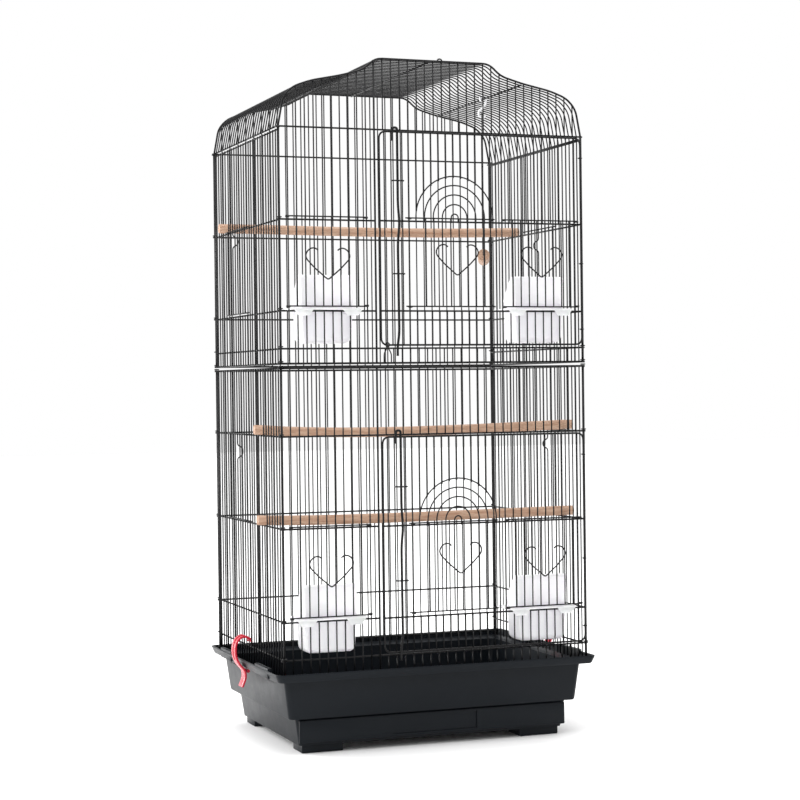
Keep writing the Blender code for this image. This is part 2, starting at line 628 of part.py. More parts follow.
def make_swing():
    """A hook on a roof wire, a bent wire bow and a short perch on its lower wire."""
    turn = Matrix.Rotation(SWING_TURN, 4, "Z")
    place = Matrix.Translation(SWING_PLACE) @ turn
    half = SWING_LENGTH / 2

    def put(points):
        return [tuple(place @ Vector(point)) for point in points]

    bar_x, bar_z, wrap = SLOPE_TIE_X - SWING_PLACE.x, SLOPE_TIE_Z - CROSS_INSET, 0.0046
    round_bar = [
        (bar_x + wrap * math.sin(angle), 0, bar_z + wrap * math.cos(angle))
        for angle in (math.radians(degrees) for degrees in range(-125, 91, 43))
    ]
    hook = [
        *round_bar,
        (bar_x + 0.0035, 0, bar_z - 0.0075),
        (0, 0, SWING_PIVOT_Z + 0.0065),
        (-0.0050, 0, SWING_PIVOT_Z + 0.0030),
        (-0.0050, 0, SWING_PIVOT_Z - 0.0035),
        (0, 0, SWING_PIVOT_Z - 0.0060),
        (0.0050, 0, SWING_PIVOT_Z - 0.0040),
    ]
    move = Matrix.Translation(SWING_PLACE)
    across_bar = [tuple(move @ Vector(point)) for point in hook]
    welded_wires("swing_hook", [([across_bar], 0.0030)], finish="white_plastic")
    pivot = (SWING_PLACE.x, SWING_PLACE.y, SWING_PIVOT_Z)
    shoulder = SWING_PIVOT_Z - 0.030
    bow = put(
        [
            (-half + 0.004, 0, SWING_PERCH_Z),
            (-half - 0.003, 0, SWING_PERCH_Z),
            (-half - 0.003, 0, shoulder - 0.010),
            (-0.020, 0, shoulder + 0.012),
            (-0.0040, 0, SWING_PIVOT_Z),
            (0.0040, 0, SWING_PIVOT_Z),
            (0.020, 0, shoulder + 0.012),
            (half + 0.003, 0, shoulder - 0.010),
            (half + 0.003, 0, SWING_PERCH_Z),
            (half - 0.004, 0, SWING_PERCH_Z),
        ]
    )
    welded_wires("swing_bow", [([bow], WIRE)], origin=pivot)
    middle = (SWING_PLACE.x, SWING_PLACE.y, SWING_PERCH_Z)
    lie = Matrix.Rotation(math.pi / 2, 4, "Y")
    bm = bmesh.new()
    bmesh.ops.create_cone(
        bm,
        cap_ends=True,
        segments=16,
        radius1=SWING_RADIUS,
        radius2=SWING_RADIUS,
        depth=SWING_LENGTH,
        matrix=Matrix.Translation(middle) @ turn @ lie,
    )
    perch = add_object("swing_perch", mesh_of(bm), "beech", origin=middle)
    holes = bmesh.new()
    for end in (-1, 1):
        bmesh.ops.create_cone(
            holes,
            cap_ends=True,
            segments=8,
            radius1=0.0022,
            radius2=0.0022,
            depth=0.013,
            matrix=Matrix.Translation(middle) @ turn @ Matrix.Translation((end * half, 0, 0)) @ lie,
        )
    boolean(perch, mesh_of(holes), "DIFFERENCE")


def make_cups():
    """Hooded feeding cups that hang through the shutter holes on their flange and two ears."""
    for section in ("lower", "upper"):
        flange_z = SILL_Z[section] + WIRE / 2 + GAP
        top_z = flange_z + CUP_HOOD
        for place in ("left", "right"):
            x = SHUTTER_X[place] + (0.001 if place == "left" else -0.001)
            plane = -HALF_D if place == "left" else DOOR_Y
            wall_y = plane + CROSS_INSET + WIRE / 2 + GAP
            back_y = wall_y + CUP_D
            half = CUP_W / 2
            cup = add_object(
                f"{section}_{place}_cup",
                box_mesh(((x - half, wall_y, flange_z - CUP_BOWL), (x + half, back_y, top_z))),
                "cup_plastic",
                origin=(x, wall_y, flange_z),
            )
            ear_y = plane - WIRE / 2 - GAP
            ear_front = ear_y - EAR_THICK
            flange_half = FLANGE_W / 2
            rim = (
                (x - flange_half, ear_front, flange_z),
                (x + flange_half, back_y + 0.003, flange_z + FLANGE_THICK),
            )
            boolean(cup, box_mesh(rim), "UNION")
            ears = []
            for sign in (-1, 1):
                outer = flange_half - 0.004
                near, far = sorted((x + sign * outer, x + sign * (outer - EAR_W)))
                ears.append(((near, ear_front, flange_z - EAR_DROP), (far, ear_y, flange_z + 0.001)))
            boolean(cup, box_mesh(*ears), "UNION")
            inside = (
                (x - half + CUP_WALL, wall_y + CUP_WALL, flange_z - CUP_BOWL + CUP_WALL),
                (x + half - CUP_WALL, back_y - CUP_WALL, top_z - CUP_WALL),
            )
            mouth = (
                (x - half + CUP_WALL, back_y - 0.010, flange_z + FLANGE_THICK + 0.002),
                (x + half - CUP_WALL, back_y + 0.010, top_z - CUP_WALL),
            )
            boolean(cup, box_mesh(inside), "DIFFERENCE")
            boolean(cup, box_mesh(mouth), "DIFFERENCE")


clear_scene()
CAGE = new_collection("bird_cage")
GUIDES = new_collection("guides")
make_front_panels()
make_back_panels()
make_side_panels()
make_roof()
make_section_hooks()
make_main_doors()
make_latch_rods()
make_front_shutters()
make_side_shutters()
make_base_tub()
make_floor_grille()
make_tray()
make_side_clips()
make_perches()
make_swing()
make_cups()
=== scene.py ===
import math

import bmesh
import bpy
from mathutils import Matrix, Vector


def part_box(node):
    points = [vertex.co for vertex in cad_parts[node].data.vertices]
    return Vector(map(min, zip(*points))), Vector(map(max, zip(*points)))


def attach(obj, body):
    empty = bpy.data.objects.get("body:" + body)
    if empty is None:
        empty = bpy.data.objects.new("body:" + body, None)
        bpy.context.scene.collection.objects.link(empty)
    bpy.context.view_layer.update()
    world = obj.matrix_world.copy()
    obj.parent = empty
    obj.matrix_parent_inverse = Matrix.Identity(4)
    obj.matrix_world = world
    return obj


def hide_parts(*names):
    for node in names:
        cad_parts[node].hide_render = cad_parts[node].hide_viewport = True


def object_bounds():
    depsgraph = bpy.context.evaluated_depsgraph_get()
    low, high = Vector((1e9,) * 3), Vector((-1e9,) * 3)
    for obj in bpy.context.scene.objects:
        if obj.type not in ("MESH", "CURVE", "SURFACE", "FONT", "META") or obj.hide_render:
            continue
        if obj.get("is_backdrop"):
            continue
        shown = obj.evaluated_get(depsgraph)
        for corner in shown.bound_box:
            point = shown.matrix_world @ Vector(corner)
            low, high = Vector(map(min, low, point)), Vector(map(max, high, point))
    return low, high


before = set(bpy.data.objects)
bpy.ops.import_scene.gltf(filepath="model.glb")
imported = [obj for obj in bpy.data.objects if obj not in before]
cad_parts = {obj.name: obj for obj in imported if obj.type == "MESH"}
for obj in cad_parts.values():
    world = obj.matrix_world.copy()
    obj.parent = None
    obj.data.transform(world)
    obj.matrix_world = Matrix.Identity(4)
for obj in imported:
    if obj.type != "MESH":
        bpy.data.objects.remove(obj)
cad_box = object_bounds()


# ---- Camera, floor and light -------------------------------------------------
# A long lens at the height of the cage's middle, a little to the left of the front. Matt white
# floor and white paper all round, lit softly, with softboxes on the left, behind and overhead.
CAMERA_PLACE = Vector((-0.9526, -2.5937, 0.4820))
CAMERA_AZIMUTH = math.radians(-20.310)
CAMERA_PITCH = math.radians(-0.352)
CAMERA_ROLL = math.radians(-0.685)
CAMERA_LENS, SENSOR_WIDTH = 87.72, 36  # millimetres
FLOOR_HALF = 12

eye = bpy.data.cameras.new("camera")
eye.lens = CAMERA_LENS
eye.sensor_width = SENSOR_WIDTH
camera = bpy.data.objects.new("camera", eye)
bpy.context.scene.collection.objects.link(camera)
ahead = Vector((
    -math.sin(CAMERA_AZIMUTH) * math.cos(CAMERA_PITCH),
    math.cos(CAMERA_AZIMUTH) * math.cos(CAMERA_PITCH),
    math.sin(CAMERA_PITCH),
))
level = Vector((math.cos(CAMERA_AZIMUTH), math.sin(CAMERA_AZIMUTH), 0))
above = level.cross(ahead)
camera_right = level * math.cos(CAMERA_ROLL) + above * math.sin(CAMERA_ROLL)
camera_up = above * math.cos(CAMERA_ROLL) - level * math.sin(CAMERA_ROLL)
camera_turn = Matrix((camera_right, camera_up, -ahead)).transposed().to_4x4()
camera.matrix_world = Matrix.Translation(CAMERA_PLACE) @ camera_turn
bpy.context.scene.camera = camera


def linear(colour):
    """An sRGB hex colour as the linear RGBA that shaders take."""
    shares = [int(colour[at : at + 2], 16) / 255 for at in (1, 3, 5)]
    return (*[c / 12.92 if c <= 0.04045 else ((c + 0.055) / 1.055) ** 2.4 for c in shares], 1)


def add_node(tree, kind, inputs=None, **settings):
    """Adds a node with these settings; an input takes a value or a link from another node's output."""
    made = tree.nodes.new(kind)
    for name, value in settings.items():
        setattr(made, name, value)
    for name, value in (inputs or {}).items():
        if isinstance(value, bpy.types.NodeSocket):
            tree.links.new(value, made.inputs[name])
        else:
            made.inputs[name].default_value = value
    return made


def new_material(name):
    """An empty material with its node tree and its output node."""
    made = bpy.data.materials.new(name)
    made.use_nodes = True
    made.node_tree.nodes.clear()
    output = made.node_tree.nodes.new("ShaderNodeOutputMaterial")
    return made, made.node_tree, output


def painted_floor():
    """Matt white paint: it scatters the light, so only a soft shadow shows on it."""
    made, tree, output = new_material("matt_white_floor_paint")
    shader = add_node(tree, "ShaderNodeBsdfPrincipled", {"Base Color": linear("#fdfdfd"), "Roughness": 0.9})
    tree.links.new(shader.outputs[0], output.inputs["Surface"])
    return made


bm = bmesh.new()
bmesh.ops.create_grid(bm, x_segments=1, y_segments=1, size=FLOOR_HALF)
floor_mesh = bpy.data.meshes.new("floor")
bm.to_mesh(floor_mesh)
bm.free()
floor = bpy.data.objects.new("floor", floor_mesh)
floor_mesh.materials.append(painted_floor())
bpy.context.scene.collection.objects.link(floor)
floor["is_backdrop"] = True

# The camera sees the paper at full brightness. As light, it is weaker in front of the cage than
# behind it, and stronger overhead.
world = bpy.data.worlds.new("studio")
world.use_nodes = True
paper = world.node_tree
paper.nodes.clear()
towards = add_node(paper, "ShaderNodeTexCoord")
along = add_node(paper, "ShaderNodeSeparateXYZ", {"Vector": towards.outputs["Generated"]})
glow = add_node(
    paper,
    "ShaderNodeMapRange",
    {"Value": along.outputs["Y"], "From Min": -1.0, "From Max": 0.4, "To Min": 0.62, "To Max": 1.0},
)
overhead = add_node(
    paper,
    "ShaderNodeMapRange",
    {"Value": along.outputs["Z"], "From Min": 0.35, "From Max": 0.9, "To Min": 0.0, "To Max": 0.75},
)
glow = add_node(paper, "ShaderNodeMath", {0: glow.outputs[0], 1: overhead.outputs[0]}, operation="ADD")
path_kind = add_node(paper, "ShaderNodeLightPath")
seen = add_node(paper, "ShaderNodeMix", {0: path_kind.outputs["Is Camera Ray"], 2: glow.outputs[0], 3: 1.0})
back = add_node(paper, "ShaderNodeBackground", {"Color": linear("#ffffff"), "Strength": seen.outputs[0]})
add_node(paper, "ShaderNodeOutputWorld", {"Surface": back.outputs[0]})
bpy.context.scene.world = world
bpy.context.scene.view_settings.view_transform = "Standard"

CAGE_MIDDLE = Vector((0, 0, 0.45))
SOFTBOXES = (  # name, place, width in metres, power in watts
    ("left_softbox", (-2.6, -1.2, 1.8), 1.8, 25),
    ("back_left_softbox", (-2.4, 2.0, 0.8), 1.6, 75),
    ("top_softbox", (0.2, 0.0, 3.0), 2.6, 40),
)
for name, place, size, power in SOFTBOXES:
    lamp = bpy.data.lights.new(name, "AREA")
    lamp.size = size
    lamp.energy = power
    holder = bpy.data.objects.new(name, lamp)
    bpy.context.scene.collection.objects.link(holder)
    aim = (CAGE_MIDDLE - Vector(place)).to_track_quat("-Z", "Y").to_matrix().to_4x4()
    holder.matrix_world = Matrix.Translation(place) @ aim


# ---- Front panels ------------------------------------------------------------
# Two welded grilles of drawn steel wire, one for each section, under black powder coat. The upper
# one ends in the arch. Uprights are left out where the main door and the left feeding hole are.
HALF_W, HALF_D = 0.217, 0.161  # to the middle of the corner posts
FRONT_GAPS, SIDE_GAPS = 36, 27
THIN, CROSS, FRAME, POST = 0.00095, 0.0012, 0.0014, 0.0017  # wire radii
RING_WIRE = 0.0009  # radius of the wire of eyes and hinge rings
CROSS_INSET = 0.0018  # from an upright's middle in to a cross wire's
CROSS_END = 0.0035  # how far a cross wire runs past a post
WELD = 0.001  # how far an upright runs past the cross wire it ends on
FEET_Z = 0.1028  # the uprights' lower ends, in the tub's rim
HEIGHTS = {
    "lower": (0.1275, 0.177, 0.299, 0.420, 0.5095),
    "upper": (0.5155, 0.535, 0.5845, 0.704, 0.825),
}
HOLE = {"lower": (0.177, 0.299), "upper": (0.5845, 0.704)}
MEETING_Z = (HEIGHTS["lower"][-1], HEIGHTS["upper"][0])
RIDGE_Z, SHOULDER_Z, EAVE_Z = 0.919, 0.8945, 0.825
ROOF_HALF = (
    (0.082, RIDGE_Z),
    (0.098, 0.9035),
    (0.130, SHOULDER_Z),
    (0.172, 0.886),
    (0.1965, 0.877),
    (0.210, 0.8625),
    (HALF_W, EAVE_Z),
)
ROOF_OUTLINE = [(-x, z) for x, z in reversed(ROOF_HALF)] + list(ROOF_HALF)


def noise(tree, place, scale, detail, rough=0.5, distortion=0.0):
    """A noise from 0 to 1, with its scale in cycles a metre."""
    values = {"Vector": place, "Scale": scale, "Detail": detail, "Roughness": rough, "Distortion": distortion}
    return add_node(tree, "ShaderNodeTexNoise", values).outputs["Fac"]


def blend(tree, share, first, second):
    """The first colour going over into the second by this share."""
    values = {"Factor": share, 6: first, 7: second}
    return add_node(tree, "ShaderNodeMix", values, data_type="RGBA").outputs[2]


def powder_coat():
    """Black polyester powder coat on steel wire: satin, with the faint orange peel of a baked coat."""
    made, tree, output = new_material("black_powder_coat")
    place = add_node(tree, "ShaderNodeTexCoord").outputs["Object"]
    peel = noise(tree, place, 900.0, 2.0)
    cloud = noise(tree, place, 45.0, 3.0, 0.6)
    shade = blend(tree, cloud, linear("#060607"), linear("#0f0f11"))
    gloss = add_node(tree, "ShaderNodeMapRange", {"Value": cloud, "To Min": 0.30, "To Max": 0.44})
    bump = add_node(tree, "ShaderNodeBump", {"Strength": 0.12, "Distance": 0.0002, "Height": peel})
    shader = add_node(
        tree,
        "ShaderNodeBsdfPrincipled",
        {
            "Base Color": shade,
            "Roughness": gloss.outputs[0],
            "IOR": 1.5,
            "Specular IOR Level": 0.22,
            "Normal": bump.outputs["Normal"],
        },
    )
    tree.links.new(shader.outputs[0], output.inputs["Surface"])
    return made


BLACK_COAT = powder_coat()


def straight_wire(bm, start, end, radius, sides=8):
    """A cut length of round wire between two points."""
    start, end = Vector(start), Vector(end)
    run = end - start
    turn = run.to_track_quat("Z", "Y").to_matrix().to_4x4()
    place = Matrix.Translation((start + end) / 2) @ turn
    bmesh.ops.create_cone(
        bm, cap_ends=True, segments=sides, radius1=radius, radius2=radius, depth=run.length, matrix=place
    )


def extruded(bm, edges):
    """Extrudes edges, and gives the new corners and the new edges between them."""
    made = bmesh.ops.extrude_edge_only(bm, edges=edges)["geom"]
    verts = [item for item in made if isinstance(item, bmesh.types.BMVert)]
    row = set(verts)
    edges = [item for item in made if isinstance(item, bmesh.types.BMEdge)]
    return verts, [edge for edge in edges if row.issuperset(edge.verts)]


def bent_wire(bm, points, radius, sides=8, closed=False):
    """Round wire bent through the points: a circle, extruded and turned on to each next point."""
    points = [Vector(point) for point in points]
    count = len(points)
    if closed:
        heads = [(points[(at + 1) % count] - points[at - 1]).normalized() for at in range(count)]
    else:
        heads = [
            (points[min(at + 1, count - 1)] - points[max(at - 1, 0)]).normalized() for at in range(count)
        ]
    turn = heads[0].to_track_quat("Z", "Y")
    place = Matrix.Translation(points[0]) @ turn.to_matrix().to_4x4()
    ring = bmesh.ops.create_circle(bm, cap_ends=False, segments=sides, radius=radius, matrix=place)["verts"]
    edges = list({edge for vert in ring for edge in vert.link_edges})
    first = edges
    for at in range(1, count):
        ring, edges = extruded(bm, edges)
        turn = heads[at - 1].rotation_difference(heads[at]) @ turn
        next_place = Matrix.Translation(points[at]) @ turn.to_matrix().to_4x4()
        bmesh.ops.transform(bm, matrix=next_place @ place.inverted(), verts=ring)
        place = next_place
    if closed:
        bmesh.ops.bridge_loops(bm, edges=first + edges)
    else:
        bmesh.ops.contextual_create(bm, geom=first)
        bmesh.ops.contextual_create(bm, geom=edges)


def rounded(points, radius, steps=4, closed=False):
    """The same path with each corner eased into a bend that starts this far from it."""
    points = [Vector(point) for point in points]
    count = len(points)
    eased = []
    for at, corner in enumerate(points):
        if not closed and at in (0, count - 1):
            eased.append(corner)
            continue
        before, after = points[at - 1], points[(at + 1) % count]
        reach = min(radius, 0.45 * (corner - before).length, 0.45 * (after - corner).length)
        start = corner + (before - corner).normalized() * reach
        end = corner + (after - corner).normalized() * reach
        for step in range(steps + 1):
            share = step / steps
            eased.append(start * (1 - share) ** 2 + corner * 2 * share * (1 - share) + end * share**2)
    return eased


def arc(centre, radius, start, end, steps, normal="Y"):
    """Points on an arc; the angles, in degrees, run from +X towards +Z, or towards +Y about Z."""
    points = []
    for step in range(steps + 1):
        angle = math.radians(start + (end - start) * step / steps)
        along, side = radius * math.cos(angle), radius * math.sin(angle)
        offset = Vector((along, 0, side)) if normal == "Y" else Vector((along, side, 0))
        points.append(Vector(centre) + offset)
    return points


def finish_piece(name, bm, material, body, slot, *replaced, crease=None):
    """Turns the bmesh into a shown piece that rides on a CAD body and stands for the CAD nodes named."""
    bmesh.ops.recalc_face_normals(bm, faces=bm.faces)
    mesh = bpy.data.meshes.new(name)
    for face in bm.faces:
        face.smooth = True
    bm.to_mesh(mesh)
    bm.free()
    if crease:
        mesh.set_sharp_from_angle(angle=math.radians(crease))
    piece = bpy.data.objects.new(name, mesh)
    bpy.context.scene.collection.objects.link(piece)
    mesh.materials.append(material)
    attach(piece, body)
    if replaced:
        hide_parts(*replaced)
    return piece


def front_x(number):
    """Place of an upright wire across the cage, counted from the left post."""
    return -HALF_W + 2 * HALF_W * number / FRONT_GAPS


def side_y(number):
    """Place of an upright wire from front to back, counted from the front post."""
    return -HALF_D + 2 * HALF_D * number / SIDE_GAPS


def roof_height(x):
    """Height of the arch's outline at a place across the cage."""
    for (x0, z0), (x1, z1) in zip(ROOF_OUTLINE, ROOF_OUTLINE[1:]):
        if x0 <= x <= x1:
            return z0 + (z1 - z0) * (x - x0) / (x1 - x0)
    return ROOF_OUTLINE[0][1]


def arch_path(y):
    """The roof's outline as a path bent over from eave to eave."""
    return rounded([(x, y, z) for x, z in ROOF_OUTLINE], 0.010, 4)


def cross_radius(z):
    """A cross wire is thicker where the two sections meet."""
    return FRAME if z in MEETING_Z else CROSS


JAMB = 11  # the thick upright at the main doors' free edge
STRIP_GUIDES = (1, 10)  # the uprights that the left lift doors slide on
HINGE_X, HINGE_Y, HINGE_RADIUS = 0.2145, -0.1646, 0.0024
HINGE_RINGS = {"lower": (0.152, 0.245, 0.388), "upper": (0.560, 0.650, 0.795)}

for section in ("lower", "upper"):
    bottom_z, *_, top_z = HEIGHTS[section]
    start_z = FEET_Z if section == "lower" else bottom_z
    hole_low, hole_high = HOLE[section]
    cross_y = -HALF_D + CROSS_INSET
    bm = bmesh.new()
    for x in (-HALF_W, HALF_W):
        straight_wire(bm, (x, -HALF_D, start_z), (x, -HALF_D, top_z + WELD), POST, 12)
    for number in range(1, FRONT_GAPS):
        x = front_x(number)
        end_z = top_z + WELD if section == "lower" else roof_height(x)
        radius = FRAME if number == JAMB else THIN
        if number == JAMB or number in STRIP_GUIDES:
            runs = [(start_z, end_z)]
        elif number < JAMB:
            runs = [(start_z, hole_low + WELD), (hole_high - WELD, end_z)]
        elif section == "lower":
            runs = [(start_z, bottom_z + WELD), (HEIGHTS["lower"][3] - WELD, end_z)]
        else:
            runs = [(bottom_z, HEIGHTS["upper"][1] + WELD), (top_z - WELD, end_z)]
        for low, high in runs:
            straight_wire(bm, (x, -HALF_D, low), (x, -HALF_D, high), radius)
    for z in HEIGHTS[section]:
        right_end = front_x(JAMB) + FRAME if z in HOLE[section] else HALF_W + CROSS_END
        straight_wire(bm, (-HALF_W - CROSS_END, cross_y, z), (right_end, cross_y, z), cross_radius(z))
    if section == "upper":
        bent_wire(bm, arch_path(-HALF_D), FRAME, 10)
    for z in HINGE_RINGS[section]:
        ring = arc((HINGE_X, HINGE_Y, z), HINGE_RADIUS, 0, 345, 14, "Z")[:-1]
        bent_wire(bm, ring, RING_WIRE, 6, closed=True)
    finish_piece(f"front_wires_{section}", bm, BLACK_COAT, "root", "black_wire", f"{section}_front_panel")


# ---- Back panels -------------------------------------------------------------
# The same two grilles without doors, so with fewer cross wires: the lowest one lies behind the
# tub's rim. The posts run on up into the rear arch.
BACK_HEIGHTS = {
    "lower": (0.109, *HEIGHTS["lower"][1:]),
    "upper": (HEIGHTS["upper"][0], *HEIGHTS["upper"][2:]),
}

for section in ("lower", "upper"):
    bottom_z, *_, top_z = HEIGHTS[section]
    start_z = FEET_Z if section == "lower" else bottom_z
    bm = bmesh.new()
    for number in range(FRONT_GAPS + 1):
        x = front_x(number)
        is_post = number in (0, FRONT_GAPS)
        radius, wire_sides = (POST, 12) if is_post else (THIN, 8)
        end_z = roof_height(x) if section == "upper" and not is_post else top_z + WELD
        straight_wire(bm, (x, HALF_D, start_z), (x, HALF_D, end_z), radius, wire_sides)
    for z in BACK_HEIGHTS[section]:
        y, reach = HALF_D - CROSS_INSET, HALF_W + CROSS_END
        straight_wire(bm, (-reach, y, z), (reach, y, z), cross_radius(z))
    if section == "upper":
        bent_wire(bm, arch_path(HALF_D), FRAME, 10)
    finish_piece(f"back_wires_{section}", bm, BLACK_COAT, "root", "black_wire", f"{section}_back_panel")


# ---- Side panels -------------------------------------------------------------
# Grilles that hook round the corner posts by small eyes on the ends of their cross wires. Each has
# one hole, which a side lift door closes from outside.
SIDE_TOP_Z = {"left": 0.8215, "right": 0.8195}
REAR_EDGE_Y = HALF_D - 0.0055  # a thicker wire beside the rear post
SIDE_HOLE = {"lower": (0.299, 0.420), "upper": (0.5845, 0.704)}
SIDE_DOOR_Y = {"left": 0.0335, "right": -0.016}
SIDE_DOOR_SPAN, DOOR_LAP = 0.1135, 0.004
EYE_RADIUS, EYE_LIFT, EYE_BEND = 0.0028, 2.1 * CROSS, 300  # the bend in degrees
DOOR_ZONES = ((0.131, 0.4185), (0.539, 0.8235))  # heights where a main door fills the right corner
CROSS_REACH = HALF_D - CROSS_INSET - CROSS - 0.0002

for section in ("lower", "upper"):
    hole_low, hole_high = SIDE_HOLE[section]
    for side, sign in (("left", -1), ("right", 1)):
        heights = HEIGHTS["lower"] if section == "lower" else (*HEIGHTS["upper"][:-1], SIDE_TOP_Z[side])
        start_z = FEET_Z if section == "lower" else heights[0]
        top_z = heights[-1] + WELD
        middle, half_hole = SIDE_DOOR_Y[side], SIDE_DOOR_SPAN / 2 - DOOR_LAP
        edges_y = (middle - half_hole, middle + half_hole)
        bm = bmesh.new()
        post_x = sign * HALF_W
        for y in edges_y:
            straight_wire(bm, (post_x, y, start_z), (post_x, y, top_z), THIN)
        straight_wire(bm, (post_x, REAR_EDGE_Y, start_z), (post_x, REAR_EDGE_Y, top_z), FRAME)
        for number in range(1, SIDE_GAPS):
            y = side_y(number)
            if min(abs(y - edge) for edge in edges_y) < 0.0035:
                continue
            inside = edges_y[0] < y < edges_y[1]
            cut_runs = [(start_z, hole_low + WELD), (hole_high - WELD, top_z)]
            for low, high in cut_runs if inside else [(start_z, top_z)]:
                straight_wire(bm, (post_x, y, low), (post_x, y, high), THIN)
        x = sign * (HALF_W - CROSS_INSET)
        for z in heights:
            straight_wire(bm, (x, -CROSS_REACH, z), (x, CROSS_REACH, z), cross_radius(z))
            for end in (-1, 1):
                if side == "right" and end < 0 and any(low < z < high for low, high in DOOR_ZONES):
                    continue
                start = -90 * end
                centre = (post_x, end * HALF_D, z + EYE_LIFT)
                eye_path = arc(centre, EYE_RADIUS, start, start + sign * end * EYE_BEND, 12, "Z")
                bent_wire(bm, eye_path, RING_WIRE, 6)
        node = f"{section}_{side}_panel"
        finish_piece(f"{side}_wires_{section}", bm, BLACK_COAT, "root", "black_wire", node)


# ---- Roof --------------------------------------------------------------------
# Thin wires bent over from eave to eave, one for each upright of the sides, welded to three ties
# under them and to a bar along each eave. The right eave sits a little lower than the left.
RIDGE_TIE_X, SLOPE_TIE_X = -0.006, 0.130
EAVE_BAR_Z = {"left": 0.8262, "right": 0.8215}
bm = bmesh.new()
for number in range(1, SIDE_GAPS):
    y = side_y(number)
    bent_wire(bm, arch_path(y) + [Vector((HALF_W, y, EAVE_BAR_Z["right"] - CROSS))], THIN)
for x, z in (
    (RIDGE_TIE_X, RIDGE_Z - CROSS_INSET),
    (-SLOPE_TIE_X, SHOULDER_Z - CROSS_INSET),
    (SLOPE_TIE_X, SHOULDER_Z - CROSS_INSET),
    (-HALF_W + CROSS_INSET, EAVE_BAR_Z["left"]),
    (HALF_W - CROSS_INSET, EAVE_BAR_Z["right"]),
):
    straight_wire(bm, (x, -CROSS_REACH, z), (x, CROSS_REACH, z), CROSS)
finish_piece("roof_wires", bm, BLACK_COAT, "root", "black_wire", "roof_panel")


# ---- Loops and section hook --------------------------------------------------
# Small bent wires: a loop welded on each arch, and a hook on the back that ties the upper section
# to the lower one, bent as a small eye over a bell.
LOOP_WIRE, LOOP_RADIUS, LOOP_Z = 0.0010, 0.0035, 0.9188
HOOK_EYE_Z, HOOK_EYE_RADIUS = 0.5473, 0.0030
HOOK_PINCH_Z, HOOK_BELL_Z, HOOK_FOOT_Z = 0.5415, 0.534, 0.519
HOOK_PINCH_HALF, HOOK_BELL_HALF = 0.0016, 0.0058

for name, x, y in (("front_roof_loop", 0.010, -HALF_D), ("back_roof_loop", -0.013, HALF_D)):
    bm = bmesh.new()
    bent_wire(bm, arc((x, y, LOOP_Z), LOOP_RADIUS, -10, 190, 12), LOOP_WIRE)
    finish_piece(f"{name}_wire", bm, BLACK_COAT, "root", "black_wire", name)
bm = bmesh.new()
hook_low, hook_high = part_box("back_section_hook")
hook_x = (hook_low.x + hook_high.x) / 2
hook_y = (hook_low.y + hook_high.y) / 2
hook_eye = arc((hook_x, hook_y, HOOK_EYE_Z), HOOK_EYE_RADIUS, -50, 230, 12)
right_leg, left_leg = [
    [
        (hook_x + end * HOOK_BELL_HALF, hook_y, HOOK_FOOT_Z),
        (hook_x + end * HOOK_BELL_HALF, hook_y, HOOK_BELL_Z),
        (hook_x + end * HOOK_PINCH_HALF, hook_y, HOOK_PINCH_Z),
    ]
    for end in (1, -1)
]
path = rounded(right_leg, 0.004, 4) + hook_eye + rounded(left_leg[::-1], 0.004, 4)
bent_wire(bm, path, LOOP_WIRE)
finish_piece("back_section_hook_wire", bm, BLACK_COAT, "root", "black_wire", "back_section_hook")


# ---- Main doors --------------------------------------------------------------
# A frame of thicker wire with its corners bent round, hinged in rings on the right post. Two small
# feeding holes are left open in it, and a rainbow of bent wires fills the space over the middle one.
DOOR_Y = HINGE_Y
DOOR_LEFT, DOOR_RIGHT = -0.079, HINGE_X
DOOR_Z = {"lower": (0.1312, 0.4172), "upper": (0.5392, 0.8222)}
DOOR_FRAME, DOOR_CORNER = 0.0013, 0.010
LATCH_WIRES = (-0.0625, -0.0468)
MIDDLE_HOLE, MIDDLE_GAPS = (-0.0376, 0.0798), 11
RIGHT_HOLE = (26, 35)  # numbers of the uprights on its sides
LONE_WIRES_X = (-0.0722, 0.0881)
RAINBOW_X, RAINBOW_RADII = 0.0278, (0.0557, 0.0434, 0.0308, 0.0178, 0.0050)
RAINBOW_LIFT, RAINBOW_FEET = 0.0055, 0.0070  # its middle over the cross wire, its straight feet
ROD_Y = DOOR_Y - 0.0036
STAPLE_SHARES, STAPLE_Y, STAPLE_WIRE = (0.333, 0.769), ROD_Y - 0.00315, 0.0010

